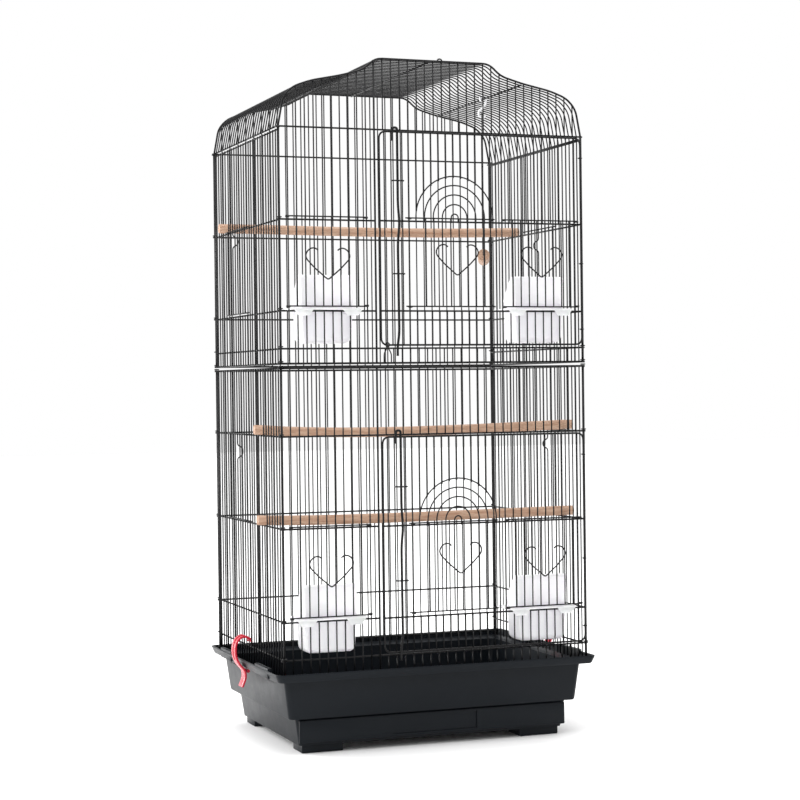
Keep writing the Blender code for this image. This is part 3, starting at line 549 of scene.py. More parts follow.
for section in ("lower", "upper"):
    low, high = DOOR_Z[section]
    hole_low, hole_high = HOLE[section]
    bm = bmesh.new()
    corners = [(DOOR_LEFT, low), (DOOR_RIGHT, low), (DOOR_RIGHT, high), (DOOR_LEFT, high)]
    outline = rounded([(x, DOOR_Y, z) for x, z in corners], DOOR_CORNER, 6, closed=True)
    bent_wire(bm, outline, DOOR_FRAME, 10, closed=True)
    for z in (hole_low, hole_high):
        y = DOOR_Y + CROSS_INSET
        straight_wire(bm, (DOOR_LEFT, y, z), (DOOR_RIGHT, y, z), CROSS)
    right_hole = [front_x(number) for number in RIGHT_HOLE]
    for x in (*LONE_WIRES_X, *LATCH_WIRES, *MIDDLE_HOLE, *right_hole):
        straight_wire(bm, (x, DOOR_Y, low), (x, DOOR_Y, high), THIN)
    over_holes = []  # place of each cut upright, and the height where it goes on over the hole
    for number in range(1, MIDDLE_GAPS):
        x = MIDDLE_HOLE[0] + number * (MIDDLE_HOLE[1] - MIDDLE_HOLE[0]) / MIDDLE_GAPS
        rise = math.sqrt(max(RAINBOW_RADII[0] ** 2 - (x - RAINBOW_X) ** 2, 0))
        over_holes.append((x, hole_high + rise + RAINBOW_LIFT - 2.5 * WELD))
    for number in range(RIGHT_HOLE[0] + 1, RIGHT_HOLE[1]):
        over_holes.append((front_x(number), hole_high - WELD))
    for x, z in over_holes:
        straight_wire(bm, (x, DOOR_Y, low), (x, DOOR_Y, hole_low + WELD), THIN)
        straight_wire(bm, (x, DOOR_Y, z), (x, DOOR_Y, high), THIN)
    for radius in RAINBOW_RADII:
        bow = arc((RAINBOW_X, DOOR_Y, hole_high + RAINBOW_LIFT), radius, 0, 180, 24)
        foot = Vector((0, 0, RAINBOW_FEET))
        bent_wire(bm, [bow[0] - foot, *bow, bow[-1] - foot], THIN)
    near, far = LATCH_WIRES
    for share in STAPLE_SHARES:
        z = low + share * (high - low)
        staple = [(near, DOOR_Y, z), (near, STAPLE_Y, z), (far, STAPLE_Y, z), (far, DOOR_Y, z)]
        bent_wire(bm, rounded(staple, 0.0018, 3), STAPLE_WIRE)
    body = f"{section}_door"
    finish_piece(f"{body}_wires", bm, BLACK_COAT, body, "black_wire", f"{section}_main_door")


# ---- Latch rods --------------------------------------------------------------
# A thick rod that slides up and down through two wire staples at each main door's free edge. It
# isn't quite straight, and its top is bent over as a finger hook.
ROD_X, ROD_RADIUS = -0.0547, 0.0017
ROD_HOOK, HOOK_TIP, HOOK_DROP = 0.0065, 0.0077, 0.0175
ROD_BENDS = (  # how far aside, at which share of the height
    (-0.0026, 0),
    (-0.0026, 0.04),
    (0, 0.10),
    (-0.0006, 0.50),
    (0.0022, 0.58),
    (0, 0.66),
    (0, 0.93),
)

for section in ("lower", "upper"):
    node = f"{section}_latch_rod"
    low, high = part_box(node)
    top_z = high.z - ROD_RADIUS
    bm = bmesh.new()
    rod = [(ROD_X + aside, ROD_Y, low.z + share * (top_z - low.z)) for aside, share in ROD_BENDS]
    turns = ((ROD_X, top_z), (ROD_X - ROD_HOOK, top_z), (ROD_X - HOOK_TIP, top_z - HOOK_DROP))
    hook = [rod[-1], *[(x, ROD_Y, z) for x, z in turns]]
    bent_wire(bm, rounded(rod, 0.012, 5) + rounded(hook, 0.0032, 6)[1:], ROD_RADIUS, 12)
    finish_piece(f"{node}_wire", bm, BLACK_COAT, f"{section}_latch", "black_wire", node)


# ---- Front lift doors --------------------------------------------------------
# Small grilles that close the feeding holes and slide up off them, held by wire rings that run on
# the uprights beside them. Each carries a heart of bent wire.
BAR_INSET = 0.001  # from the door's edge to the middle of its top or bottom bar
STANDOFF = 0.0026  # from the panel's uprights out to the door's bars
RING_OUT, BARS_OUT, STILE_OUT, HEART_OUT = 0.0006, 0.0014, 0.0016, 0.0030
GUIDE_HALF = {"left": 0.05425, "middle": 0.0587, "right": 0.05425}
GUIDE_RING, GUIDE_WIRE, GUIDE_OFFSET = 0.0022, 0.0008, 0.0012
STILE_HALF, STILE = 0.0422, 0.0012
BARS, BAR_STEP = 6, 0.01206
HEART_POINTS = (  # its right half, from the curled end down to just over the tip
    (0.0135, 0.0385),
    (0.0175, 0.0415),
    (0.0230, 0.0412),
    (0.0283, 0.0375),
    (0.0307, 0.0315),
    (0.0290, 0.0265),
    (0.0180, 0.0150),
)
HEART_TIP_Z = {
    ("lower", "left"): 0.2216,
    ("lower", "middle"): 0.2320,
    ("lower", "right"): 0.2225,
    ("upper", "left"): 0.6250,
    ("upper", "middle"): 0.6317,
    ("upper", "right"): 0.6300,
}

for section in ("lower", "upper"):
    for place in ("left", "middle", "right"):
        node = f"{section}_{place}_shutter"
        low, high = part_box(node)
        z0, z1 = low.z + BAR_INSET, high.z - BAR_INSET
        middle_x = (low.x + high.x) / 2
        y = (-HALF_D if place == "left" else DOOR_Y) - STANDOFF
        bars_x, heart_x = middle_x, middle_x
        if place == "middle":
            bars_x, heart_x = RAINBOW_X - 0.0014, RAINBOW_X + 0.0010
        bm = bmesh.new()
        for z in (z0, z1):
            straight_wire(bm, (low.x, y, z), (high.x, y, z), THIN)
        for end in (-1, 1):
            for z in (z0 + end * GUIDE_OFFSET, z1 - GUIDE_OFFSET):
                centre = (middle_x + end * GUIDE_HALF[place], y - RING_OUT, z)
                bent_wire(bm, arc(centre, GUIDE_RING, 0, 330, 10, "Z"), GUIDE_WIRE, 6)
            x = bars_x + end * STILE_HALF
            straight_wire(bm, (x, y - STILE_OUT, z0), (x, y - STILE_OUT, z1), STILE)
        for number in range(BARS):
            x = bars_x + (number - (BARS - 1) / 2) * BAR_STEP
            straight_wire(bm, (x, y - BARS_OUT, z0), (x, y - BARS_OUT, z1), THIN)
        tip_z = HEART_TIP_Z[section, place]
        heart = [(-x, z) for x, z in HEART_POINTS] + [(0, 0)] + list(reversed(HEART_POINTS))
        path = [(heart_x + x, y - HEART_OUT, tip_z + z) for x, z in heart]
        bent_wire(bm, rounded(path, 0.0030, 3), THIN)
        finish_piece(f"{node}_wires", bm, BLACK_COAT, f"{section}_{place}_lift_door", "black_wire", node)


# ---- Side lift doors ---------------------------------------------------------
# The same small doors on the sides, without hearts. One upright of each is bent inwards below its
# top, which catches on the cross wire over the hole and holds the door up.
SIDE_LIFT_DOORS = {  # the bent upright, from and to which height, and the top bar over the door's edge
    ("lower", "left"): (3, 0.387, 0.405, -BAR_INSET),
    ("upper", "left"): (4, 0.682, 0.698, -BAR_INSET),
    ("lower", "right"): (1, 0.392, 0.407, -BAR_INSET),
    ("upper", "right"): (3, 0.678, 0.694, 0.0035),
}
SIDE_STANDOFF, SIDE_BARS_OUT, SIDE_STILE_OUT = 0.003, 0.0008, 0.0010
KINK_DEPTH, KINK_SLOPE = 0.0075, 0.004

for section in ("lower", "upper"):
    for side, sign in (("left", -1), ("right", 1)):
        node = f"{section}_{side}_side_shutter"
        low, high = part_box(node)
        bent, bend_low, bend_high, top_rise = SIDE_LIFT_DOORS[section, side]
        z0, z1 = low.z + BAR_INSET, high.z + top_rise
        x = sign * (HALF_W + SIDE_STANDOFF)
        bars_x, stile_x = x + sign * SIDE_BARS_OUT, x + sign * SIDE_STILE_OUT
        middle_y = (low.y + high.y) / 2
        bm = bmesh.new()
        for z in (z0, z1):
            straight_wire(bm, (x, low.y, z), (x, high.y, z), THIN)
        for end in (-1, 1):
            y = middle_y + end * STILE_HALF
            straight_wire(bm, (stile_x, y, z0), (stile_x, y, z1), STILE)
        for number in range(BARS):
            y = middle_y + (number - (BARS - 1) / 2) * BAR_STEP
            if number != bent:
                straight_wire(bm, (bars_x, y, z0), (bars_x, y, z1), THIN)
                continue
            kink_x = bars_x - sign * KINK_DEPTH
            kink = ((bars_x, z0), (bars_x, bend_low), (kink_x, bend_low + KINK_SLOPE))
            kink += ((kink_x, bend_high - KINK_SLOPE), (bars_x, bend_high), (bars_x, z1))
            bent_wire(bm, rounded([(at, y, z) for at, z in kink], 0.003, 3), THIN)
        finish_piece(f"{node}_wires", bm, BLACK_COAT, f"{section}_{side}_side_lift_door", "black_wire", node)


# ---- Floor grille ------------------------------------------------------------
# A loose wire floor that lies on the ledge over the tray, with the bars running front to back.
GRILLE_GAPS, GRILLE_RAIL = 32, 0.0010
GRILLE_BAR_INSET, GRILLE_RAIL_INSET = 0.003, 0.002
low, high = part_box("floor_grille")
bm = bmesh.new()
bar_z, rail_z = high.z - 0.001, low.z + 0.0011
for number in range(GRILLE_GAPS + 1):
    x = low.x + GRILLE_BAR_INSET + (high.x - low.x - 2 * GRILLE_BAR_INSET) * number / GRILLE_GAPS
    straight_wire(bm, (x, low.y, bar_z), (x, high.y, bar_z), THIN)
for y in (low.y + GRILLE_RAIL_INSET, 0.0, high.y - GRILLE_RAIL_INSET):
    straight_wire(bm, (low.x, y, rail_z), (high.x, y, rail_z), GRILLE_RAIL)
finish_piece("floor_grille_wires", bm, BLACK_COAT, "root", "black_wire", "floor_grille")


# ---- Base tub ----------------------------------------------------------------
# One moulding of black polypropylene: a deep tub with a stepped outline and a wide rim, on four
# feet. Raised tabs stand on the rim at the sides, over slots for the wire body, and the front has
# a mouth for the tray.
TUB_OUTSIDE = (
    (0.1900, 0.1370, 0.0110),
    (0.1950, 0.1388, 0.0440),
    (0.1962, 0.1395, 0.0472),
    (0.2060, 0.1472, 0.0480),
    (0.2072, 0.1482, 0.0496),
    (0.2137, 0.1515, 0.0980),
    (0.2252, 0.1657, 0.0996),
    (0.2262, 0.1667, 0.1008),
    (0.2298, 0.1688, 0.1093),
    (0.2292, 0.1684, 0.1105),
)
TUB_INSIDE = (
    (0.2276, 0.1670, 0.1103),
    (0.2224, 0.1645, 0.1022),
    (0.2098, 0.1487, 0.0985),
    (0.2035, 0.1445, 0.0510),
    (0.1895, 0.1330, 0.0470),
    (0.1840, 0.1310, 0.0135),
)
TUB_CORNER = 0.0065
MOUTH = (0.1834, 0.0146, 0.0438)  # half width, bottom and top
MOUTH_Y = (-0.160, -0.120)  # from outside the front wall to inside it
FOOT_X, FOOT_Y, FOOT_HIGH = (0.128, 0.186), (0.093, 0.133), 0.0118
SLOT_X, SLOTS_Y, SLOT_Z = (0.2122, 0.2180), ((-0.100, -0.068), (0.086, 0.118)), (0.0905, 0.0950)
TAB_X, TABS_Y, TAB_Z = (0.2222, 0.2288), ((-0.122, -0.060), (0.061, 0.115)), (0.1000, 0.1138)


def moulded_plastic(name, colours, rough, grain_mm, depth, specular=0.5):
    """Moulded plastic: one colour with faint flow clouds, a spark-eroded grain and rubbed patches."""
    made, tree, output = new_material(name)
    place = add_node(tree, "ShaderNodeTexCoord").outputs["Object"]
    flow = noise(tree, place, 9.0, 4.0, 0.55)
    grain = noise(tree, place, 1000.0 / grain_mm, 2.0)
    scuff = noise(tree, place, 60.0, 6.0, 0.7)
    shade = blend(tree, flow, linear(colours[0]), linear(colours[1]))
    gloss = {"Value": scuff, "To Min": rough - 0.08, "To Max": rough + 0.10}
    bump = {"Strength": 0.25, "Distance": depth, "Height": grain}
    shader = add_node(
        tree,
        "ShaderNodeBsdfPrincipled",
        {
            "Base Color": shade,
            "Roughness": add_node(tree, "ShaderNodeMapRange", gloss).outputs[0],
            "IOR": 1.49,
            "Specular IOR Level": specular,
            "Normal": add_node(tree, "ShaderNodeBump", bump).outputs["Normal"],
        },
    )
    tree.links.new(shader.outputs[0], output.inputs["Surface"])
    return made


TUB_PLASTIC = moulded_plastic("black_polypropylene", ("#0f1317", "#14181d"), 0.36, 0.8, 0.00012, 0.13)


def rounded_plate(bm, half_w, half_d, z, corner, steps=4):
    """A flat rectangle with round corners, and the edges round it."""
    made = bmesh.ops.create_grid(bm, x_segments=1, y_segments=1, size=1)["verts"]
    place = Matrix.Translation((0, 0, z)) @ Matrix.Diagonal((half_w, half_d, 1, 1))
    bmesh.ops.transform(bm, matrix=place, verts=made)
    bmesh.ops.bevel(
        bm, geom=made, offset=corner, segments=steps, profile=0.5, affect="VERTICES", material=-1
    )
    return [edge for edge in bm.edges if edge.is_boundary]


def raise_rim(bm, edges, size_from, size_to, rise):
    """Extrudes a rim's edges and scales the new ones to the next size, this much higher."""
    verts, edges = extruded(bm, edges)
    scale = [after / before for before, after in zip(size_from, size_to)]
    bmesh.ops.scale(bm, vec=(*scale, 1), verts=verts)
    bmesh.ops.translate(bm, vec=(0, 0, rise), verts=verts)
    return edges


def block(low, high, corner=0.0, steps=2):
    """A cuboid between two corners, with its edges rounded off."""
    bm = bmesh.new()
    low, high = Vector(low), Vector(high)
    place = Matrix.Translation((low + high) / 2) @ Matrix.Diagonal((*(high - low), 1))
    bmesh.ops.create_cube(bm, size=1, matrix=place)
    if corner:
        bmesh.ops.bevel(
            bm, geom=bm.edges[:], offset=corner, segments=steps, profile=0.5, affect="EDGES", material=-1
        )
    return bm


def joined(first, *tools, operation="DIFFERENCE"):
    """The first shape with the others cut out of it or joined to it."""
    holders = []
    for part in (first, *tools):
        bmesh.ops.recalc_face_normals(part, faces=part.faces)
        mesh = bpy.data.meshes.new("blank")
        part.to_mesh(mesh)
        part.free()
        holders.append(bpy.data.objects.new("blank", mesh))
        bpy.context.scene.collection.objects.link(holders[-1])
    for tool in holders[1:]:
        step = holders[0].modifiers.new("step", "BOOLEAN")
        step.operation = operation
        step.object = tool
    graph = bpy.context.evaluated_depsgraph_get()
    made = bpy.data.meshes.new_from_object(holders[0].evaluated_get(graph))
    bm = bmesh.new()
    bm.from_mesh(made)
    for holder in holders:
        bpy.data.objects.remove(holder)
    bpy.data.meshes.remove(made)
    return bm


bm = bmesh.new()
rim = rounded_plate(bm, *TUB_OUTSIDE[0], TUB_CORNER)
levels = TUB_OUTSIDE + TUB_INSIDE
for before, after in zip(levels, levels[1:]):
    rim = raise_rim(bm, rim, before[:2], after[:2], after[2] - before[2])
bmesh.ops.contextual_create(bm, geom=rim)
extras = []
for sx in (-1, 1):
    for sy in (-1, 1):
        xs, ys = sorted(sx * x for x in FOOT_X), sorted(sy * y for y in FOOT_Y)
        extras.append(block((xs[0], ys[0], 0), (xs[1], ys[1], FOOT_HIGH), 0.0015))
    for y0, y1 in TABS_Y:
        xs = sorted(sx * x for x in TAB_X)
        extras.append(block((xs[0], y0, TAB_Z[0]), (xs[1], y1, TAB_Z[1]), 0.0012))
bm = joined(bm, *extras, operation="UNION")
cuts = [block((-MOUTH[0], MOUTH_Y[0], MOUTH[1]), (MOUTH[0], MOUTH_Y[1], MOUTH[2]))]
for sx in (-1, 1):
    for y0, y1 in SLOTS_Y:
        xs = sorted(sx * x for x in SLOT_X)
        cuts.append(block((xs[0], y0, SLOT_Z[0]), (xs[1], y1, SLOT_Z[1])))
bm = joined(bm, *cuts)
finish_piece("base_tub_moulding", bm, TUB_PLASTIC, "root", "tub_plastic", "base_tub", crease=35)


# ---- Tray --------------------------------------------------------------------
# A shallow drawer of the same plastic that slides out under the floor grille. Its front lies over
# the tub's mouth and has a wide sunk finger grip in the middle.
TRAY_PLASTIC = moulded_plastic("black_polypropylene_tray", ("#0e1216", "#13171c"), 0.38, 0.8, 0.00012, 0.13)
TRAY_HALF, FACE_THICK, WALL, FLOOR_TOP = 0.182, 0.003, 0.0022, 0.0027
GRIP_HALF, GRIP_LOW, GRIP_HIGH, GRIP_DEEP = 0.061, 0.0185, 0.0415, 0.0020
low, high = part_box("slide_out_tray")
front, inner_half = low.y + FACE_THICK, TRAY_HALF - WALL
bm = joined(
    block((-TRAY_HALF, front - 0.0012, low.z + 0.0007), (TRAY_HALF, high.y, high.z - 0.0025), 0.0008),
    block((low.x, low.y, low.z), (high.x, front, high.z), 0.0007),
    operation="UNION",
)
bm = joined(
    bm,
    block((-inner_half, front + WALL, low.z + FLOOR_TOP), (inner_half, high.y - WALL, high.z + 0.01)),
    block((-GRIP_HALF, low.y - 0.002, GRIP_LOW), (GRIP_HALF, low.y + GRIP_DEEP, GRIP_HIGH)),
)
finish_piece("tray_moulding", bm, TRAY_PLASTIC, "tray", "tray_plastic", "slide_out_tray", crease=35)


# ---- Side clips --------------------------------------------------------------
# Glossy red sprung levers, moulded in polystyrene, one on each side of the tub. Two fingers hook
# over the wire body's bottom wire, and the tail below the pin is the thumb lever.
CLIP_LINE = (
    (-0.2140, 0.1340),
    (-0.2150, 0.1385),
    (-0.2215, 0.1430),
    (-0.2280, 0.1440),
    (-0.2350, 0.1400),
    (-0.2395, 0.1330),
    (-0.2405, 0.1230),
    (-0.2395, 0.1130),
    (-0.2345, 0.1030),
    (-0.2265, 0.0945),
    (-0.2260, 0.0850),
    (-0.2310, 0.0730),
)
FINGER_WIDTHS = (0.0065, 0.0050, 0.0065)
FINGERS_END_Z = 0.110
CLIP_THICK, CLIP_WEB_X, CLIP_WEB_HALF = 0.0030, -0.2262, 0.0045
CLIP_PIN_X, CLIP_PIN_Z, CLIP_PIN_RADIUS, CLIP_PIN_LONG = -0.2205, 0.094, 0.0024, 0.012
SHARP = 1.0  # the angle between faces, in radians, above which their edge is eased
RED_PLASTIC = moulded_plastic("red_polystyrene", ("#b81c2e", "#cf3044"), 0.26, 1.2, 0.00004)
for side, sign in (("left", -1), ("right", 1)):
    low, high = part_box(f"{side}_side_clip")
    bm = bmesh.new()
    line = rounded([(x, low.y, z) for x, z in CLIP_LINE], 0.004, 2)
    verts = [bmesh.ops.create_vert(bm, co=point)["vert"][0] for point in line]
    edges = [bmesh.ops.contextual_create(bm, geom=pair)["edges"][0] for pair in zip(verts, verts[1:])]
    for width in FINGER_WIDTHS:
        verts, edges = extruded(bm, edges)
        bmesh.ops.translate(bm, vec=(0, width, 0), verts=verts)
    gap_y = low.y + FINGER_WIDTHS[0] + FINGER_WIDTHS[1] / 2
    between = [
        face
        for face in bm.faces
        if abs(face.calc_center_median().y - gap_y) < 0.001 and face.calc_center_median().z > FINGERS_END_Z
    ]
    bmesh.ops.delete(bm, geom=between, context="FACES")
    bmesh.ops.recalc_face_normals(bm, faces=bm.faces)
    bmesh.ops.solidify(bm, geom=bm.faces[:], thickness=CLIP_THICK)
    sharp = [edge for edge in bm.edges if edge.calc_face_angle(0) > SHARP]
    bmesh.ops.bevel(bm, geom=sharp, offset=0.0006, segments=2, profile=0.5, affect="EDGES", material=-1)
    middle_y = (low.y + high.y) / 2
    pin = bmesh.new()
    pin_ends = [(CLIP_PIN_X, middle_y + end * CLIP_PIN_LONG / 2, CLIP_PIN_Z) for end in (-1, 1)]
    straight_wire(pin, *pin_ends, CLIP_PIN_RADIUS, 20)
    web_low = (CLIP_WEB_X, middle_y - CLIP_WEB_HALF, CLIP_PIN_Z - 0.0020)
    web_high = (CLIP_PIN_X, middle_y + CLIP_WEB_HALF, CLIP_PIN_Z + 0.0020)
    web = block(web_low, web_high, 0.0005)
    bm = joined(bm, pin, web, operation="UNION")
    if sign > 0:
        bmesh.ops.scale(bm, vec=(-1, 1, 1), verts=bm.verts)
    body = f"{side}_clip"
    finish_piece(f"{body}_lever", bm, RED_PLASTIC, body, "red_plastic", f"{side}_side_clip", crease=40)


# ---- Perches -----------------------------------------------------------------
# Bare beech dowels. A saw cut in each end straddles an upright of the side panel, and the dowel
# rests on the cross wire.
PERCH_HALF, PERCH_RADIUS, CUT_HALF, CUT_DEEP = 0.2275, 0.0067, 0.0017, 0.0125
# The dowels have warped a little: how far each has sunk, and a power that is under 1 where it has
# sunk most towards its left end.
WARP = {"top_perch": (0.0025, 1.4), "middle_perch": (0.0060, 0.72), "bottom_perch": (0.0026, 0.6)}
DOWEL_PARTS = 24


def beech():
    """Sanded beech: straight grain along the dowel, small darker flecks, dry and matt."""
    made, tree, output = new_material("bare_beech_dowel")
    place = add_node(tree, "ShaderNodeTexCoord").outputs["Object"]
    stretch = add_node(tree, "ShaderNodeMapping", {"Vector": place, "Scale": (5.0, 70.0, 70.0)}).outputs[0]
    grain = noise(tree, stretch, 4.0, 6.0, 0.65, 0.3)
    fleck = noise(tree, stretch, 26.0, 3.0, 0.6)
    colours = add_node(tree, "ShaderNodeValToRGB", {"Fac": grain})
    ramp = colours.color_ramp
    ramp.elements[0].position, ramp.elements[0].color = 0.30, linear("#a47b61")
    ramp.elements[1].position, ramp.elements[1].color = 0.72, linear("#caab93")
    flecks = add_node(tree, "ShaderNodeMapRange", {"Value": fleck, "From Min": 0.58, "From Max": 0.72})
    shade = blend(tree, flecks.outputs[0], colours.outputs["Color"], linear("#926b50"))
    bump = add_node(tree, "ShaderNodeBump", {"Strength": 0.35, "Distance": 0.0003, "Height": grain})
    shader = add_node(
        tree,
        "ShaderNodeBsdfPrincipled",
        {"Base Color": shade, "Roughness": 0.62, "Normal": bump.outputs["Normal"]},
    )
    tree.links.new(shader.outputs[0], output.inputs["Surface"])
    return made


BEECH = beech()


def dowel(radius, length, place):
    """A round bar along X with its ends' edges sanded off, put in its place."""
    bm = bmesh.new()
    lie = Matrix.Rotation(math.pi / 2, 4, "Y")
    bmesh.ops.create_cone(
        bm, cap_ends=True, segments=32, radius1=radius, radius2=radius, depth=length, matrix=lie
    )
    for number in range(1, DOWEL_PARTS):
        at = (length * (number / DOWEL_PARTS - 0.5), 0, 0)
        whole = bm.verts[:] + bm.edges[:] + bm.faces[:]
        bmesh.ops.bisect_plane(bm, geom=whole, plane_co=at, plane_no=(1, 0, 0))
    ends = [edge for edge in bm.edges if edge.calc_face_angle(0) > SHARP]
    bmesh.ops.bevel(bm, geom=ends, offset=0.0007, segments=2, profile=0.5, affect="EDGES", material=-1)
    bmesh.ops.transform(bm, matrix=place, verts=bm.verts)
    return bm


for name, left_wire, right_wire in (("top_perch", 22, 20), ("middle_perch", 8, 5), ("bottom_perch", 7, 5)):
    low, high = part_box(name)
    left_y, right_y = side_y(left_wire), side_y(right_wire)
    turn = math.atan2(right_y - left_y, 2 * HALF_W)
    centre = Vector((0, (left_y + right_y) / 2, (low.z + high.z) / 2))
    place = Matrix.Translation(centre) @ Matrix.Rotation(turn, 4, "Z")
    bar = dowel(PERCH_RADIUS, 2 * PERCH_HALF, place)
    cuts = []
    for end in (-1, 1):
        near, far = sorted((end * (PERCH_HALF - CUT_DEEP), end * (PERCH_HALF + 0.002)))
        cut = block((near, -CUT_HALF, -0.010), (far, CUT_HALF, 0.010))
        bmesh.ops.transform(cut, matrix=place, verts=cut.verts)
        cuts.append(cut)
    bm = joined(bar, *cuts)
    sag, lean = WARP[name]
    for vert in bm.verts:
        along = min(1.0, max(0.0, (vert.co.x + HALF_W) / (2 * HALF_W)))
        vert.co.z -= sag * math.sin(math.pi * along**lean)
    finish_piece(f"{name}_dowel", bm, BEECH, "root", "beech", name, crease=35)


# ---- Swing -------------------------------------------------------------------
# A short beech perch on a bow of black wire whose ends turn into the dowel, hung on a moulded white
# hook that clips over the roof's right tie.
SWING_PLACE, SWING_TURN = Vector((0.128, -0.025, 0)), math.radians(67.2)
SWING_PIVOT_Z, SWING_PERCH_Z, SWING_HALF, SWING_RADIUS = 0.8725, 0.667, 0.053, 0.0083
BOW_WIRE, HOOK_ROD, TIE_Z, WRAP = 0.0010, 0.0016, SHOULDER_Z - CROSS_INSET, 0.0046
swing = Matrix.Translation(SWING_PLACE) @ Matrix.Rotation(SWING_TURN, 4, "Z")
bar = dowel(SWING_RADIUS, 2 * SWING_HALF, swing @ Matrix.Translation((0, 0, SWING_PERCH_Z)))
finish_piece("swing_dowel", bar, BEECH, "swing", "beech", "swing_perch", crease=35)
shoulder_z = SWING_PIVOT_Z - 0.040
half_bow = (
    (SWING_HALF - 0.004, SWING_PERCH_Z),
    (SWING_HALF + 0.003, SWING_PERCH_Z),
    (SWING_HALF + 0.003, shoulder_z),
    (0.020, shoulder_z + 0.022),
    (0.0040, SWING_PIVOT_Z),
)
line = [(-x, 0, z) for x, z in half_bow] + [(x, 0, z) for x, z in reversed(half_bow)]
bm = bmesh.new()
bent_wire(bm, rounded(line, 0.005, 4), BOW_WIRE)
bmesh.ops.transform(bm, matrix=swing, verts=bm.verts)
finish_piece("swing_bow_wire", bm, BLACK_COAT, "swing", "black_wire", "swing_bow")

WHITE_PLASTIC = moulded_plastic("white_polypropylene", ("#e9eaec", "#f5f6f7"), 0.34, 1.0, 0.00004)
bar_x = SLOPE_TIE_X - SWING_PLACE.x
turns = [math.radians(degrees) for degrees in range(-125, 91, 24)]
over = [(bar_x + WRAP * math.sin(turn), TIE_Z + WRAP * math.cos(turn)) for turn in turns]
line = over + [
    (bar_x + 0.0035, TIE_Z - 0.0075),
    (0.0, SWING_PIVOT_Z + 0.0065),
    (-0.0050, SWING_PIVOT_Z + 0.0030),
    (-0.0050, SWING_PIVOT_Z - 0.0035),
    (0.0, SWING_PIVOT_Z - 0.0060),
    (0.0050, SWING_PIVOT_Z - 0.0040),
]
bm = bmesh.new()
line = [(SWING_PLACE.x + x, SWING_PLACE.y, z) for x, z in line]
bent_wire(bm, rounded(line, 0.002, 3), HOOK_ROD, 10)
finish_piece("swing_hook_moulding", bm, WHITE_PLASTIC, "root", "white_plastic", "swing_hook")


# ---- Feeding cups ------------------------------------------------------------
# Milky polystyrene cups that sit in the feeding holes: a bowl, a hood whose sides slope down to the
# open back, and a flange whose two ears hang in front of the cross wire.
CUP_HALF, CUP_DEEP, CUP_WALL = 0.0375, 0.040, 0.0015
CUP_GAP = 0.0014  # from a cross wire's middle to the cup's walls and flange
BOWL_TAPER, BOWL_BEND, HOOD_BEND = 0.90, 0.0085, 0.0022
BOWL_DROP, HOOD_RISE, FLANGE_HALF, FLANGE_THICK = 0.044, 0.046, 0.049, 0.0026
HOOD_TOP, HOOD_BACK = 0.009, 0.014  # depth of the hood's flat top, height of its sides at the back
EAR_OUT, EAR_IN, EAR_SLOPE, EAR_DROP, EAR_THICK = 0.0475, 0.0200, 0.0060, 0.0075, 0.0012


def milky_plastic():
    """Milky polystyrene: light goes in and spreads, so the walls look soft and a little violet."""
    made, tree, output = new_material("milky_polystyrene")
    cloud = noise(tree, add_node(tree, "ShaderNodeTexCoord").outputs["Object"], 30.0, 3.0)
    shade = blend(tree, cloud, linear("#f4effa"), linear("#fbf9fd"))
    gloss = add_node(tree, "ShaderNodeMapRange", {"Value": cloud, "To Min": 0.22, "To Max": 0.36})
    bump = add_node(tree, "ShaderNodeBump", {"Strength": 0.1, "Distance": 0.0004, "Height": cloud})
    shader = add_node(
        tree,
        "ShaderNodeBsdfPrincipled",
        {
            "Base Color": shade,
            "Roughness": gloss.outputs[0],
            "IOR": 1.49,
            "Subsurface Weight": 0.85,
            "Subsurface Radius": (1.0, 0.9, 1.0),
            "Subsurface Scale": 0.012,
            "Normal": bump.outputs["Normal"],
        },
    )
    tree.links.new(shader.outputs[0], output.inputs["Surface"])
    return made


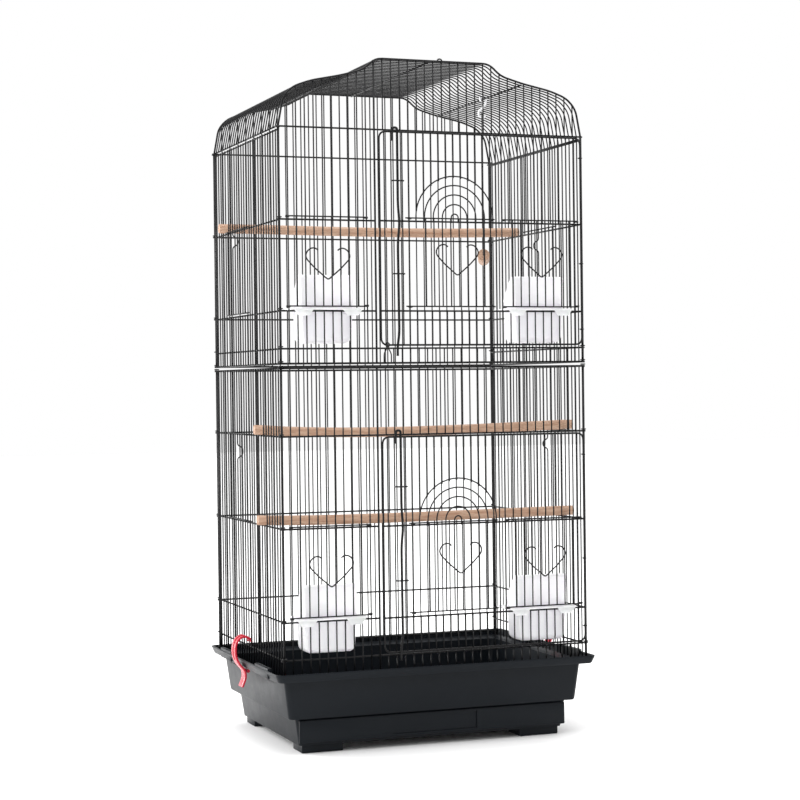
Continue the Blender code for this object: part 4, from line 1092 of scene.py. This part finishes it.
MILKY_PLASTIC = milky_plastic()
for section in ("lower", "upper"):
    for place in ("left", "right"):
        node = f"{section}_{place}_cup"
        low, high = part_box(node)
        x = (low.x + high.x) / 2
        flange_z = HOLE[section][0] + CUP_GAP
        wall_y = (-HALF_D if place == "left" else DOOR_Y) + CROSS_INSET + CUP_GAP
        back_y = wall_y + CUP_DEEP
        low_z, high_z = flange_z - BOWL_DROP, flange_z + HOOD_RISE
        body = block((x - CUP_HALF, wall_y, low_z), (x + CUP_HALF, back_y, high_z))
        for vert in body.verts:
            if vert.co.z < flange_z:
                vert.co.x = x + (vert.co.x - x) * BOWL_TAPER
        bends = {"profile": 0.5, "affect": "EDGES", "material": -1}
        under = [edge for edge in body.edges if max(vert.co.z for vert in edge.verts) < flange_z]
        bmesh.ops.bevel(body, geom=under, offset=BOWL_BEND, segments=5, **bends)
        sharp = [edge for edge in body.edges if edge.calc_face_angle(0) > SHARP]
        bmesh.ops.bevel(body, geom=sharp, offset=HOOD_BEND, segments=3, **bends)
        hollow = body.copy()
        sizes = (2 * CUP_HALF, CUP_DEEP, high_z - low_z)
        shrink = [1 - 2 * CUP_WALL / across for across in sizes]
        centre = Vector((x, (wall_y + back_y) / 2, (low_z + high_z) / 2))
        bmesh.ops.scale(hollow, vec=shrink, space=Matrix.Translation(-centre), verts=hollow.verts)
        slope = math.atan2(HOOD_RISE - HOOD_BACK, CUP_DEEP - HOOD_TOP)
        over_hood = block((-0.06, 0, 0), (0.06, 0.10, 0.06))
        hood_edge = Matrix.Translation((x, wall_y + HOOD_TOP, high_z)) @ Matrix.Rotation(-slope, 4, "X")
        bmesh.ops.transform(over_hood, matrix=hood_edge, verts=over_hood.verts)
        flange = block(
            (x - FLANGE_HALF, low.y, flange_z), (x + FLANGE_HALF, high.y, flange_z + FLANGE_THICK), 0.0009
        )
        ears = []
        for end in (-1, 1):
            near, far = sorted((x + end * EAR_OUT, x + end * EAR_IN))
            ear = block((near, low.y, flange_z - EAR_DROP), (far, low.y + EAR_THICK, flange_z + 0.001))
            for vert in ear.verts:
                if vert.co.z < flange_z:
                    vert.co.x += EAR_SLOPE if vert.co.x < (near + far) / 2 else -EAR_SLOPE
            ears.append(ear)
        bm = joined(body, flange, *ears, operation="UNION")
        bm = joined(bm, hollow, over_hood)
        rides = "root" if place == "left" else f"{section}_door"
        finish_piece(f"{node}_moulding", bm, MILKY_PLASTIC, rides, "cup_plastic", node, crease=35)


size = {"cad": [list(corner) for corner in cad_box], "visual": [list(corner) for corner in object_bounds()]}
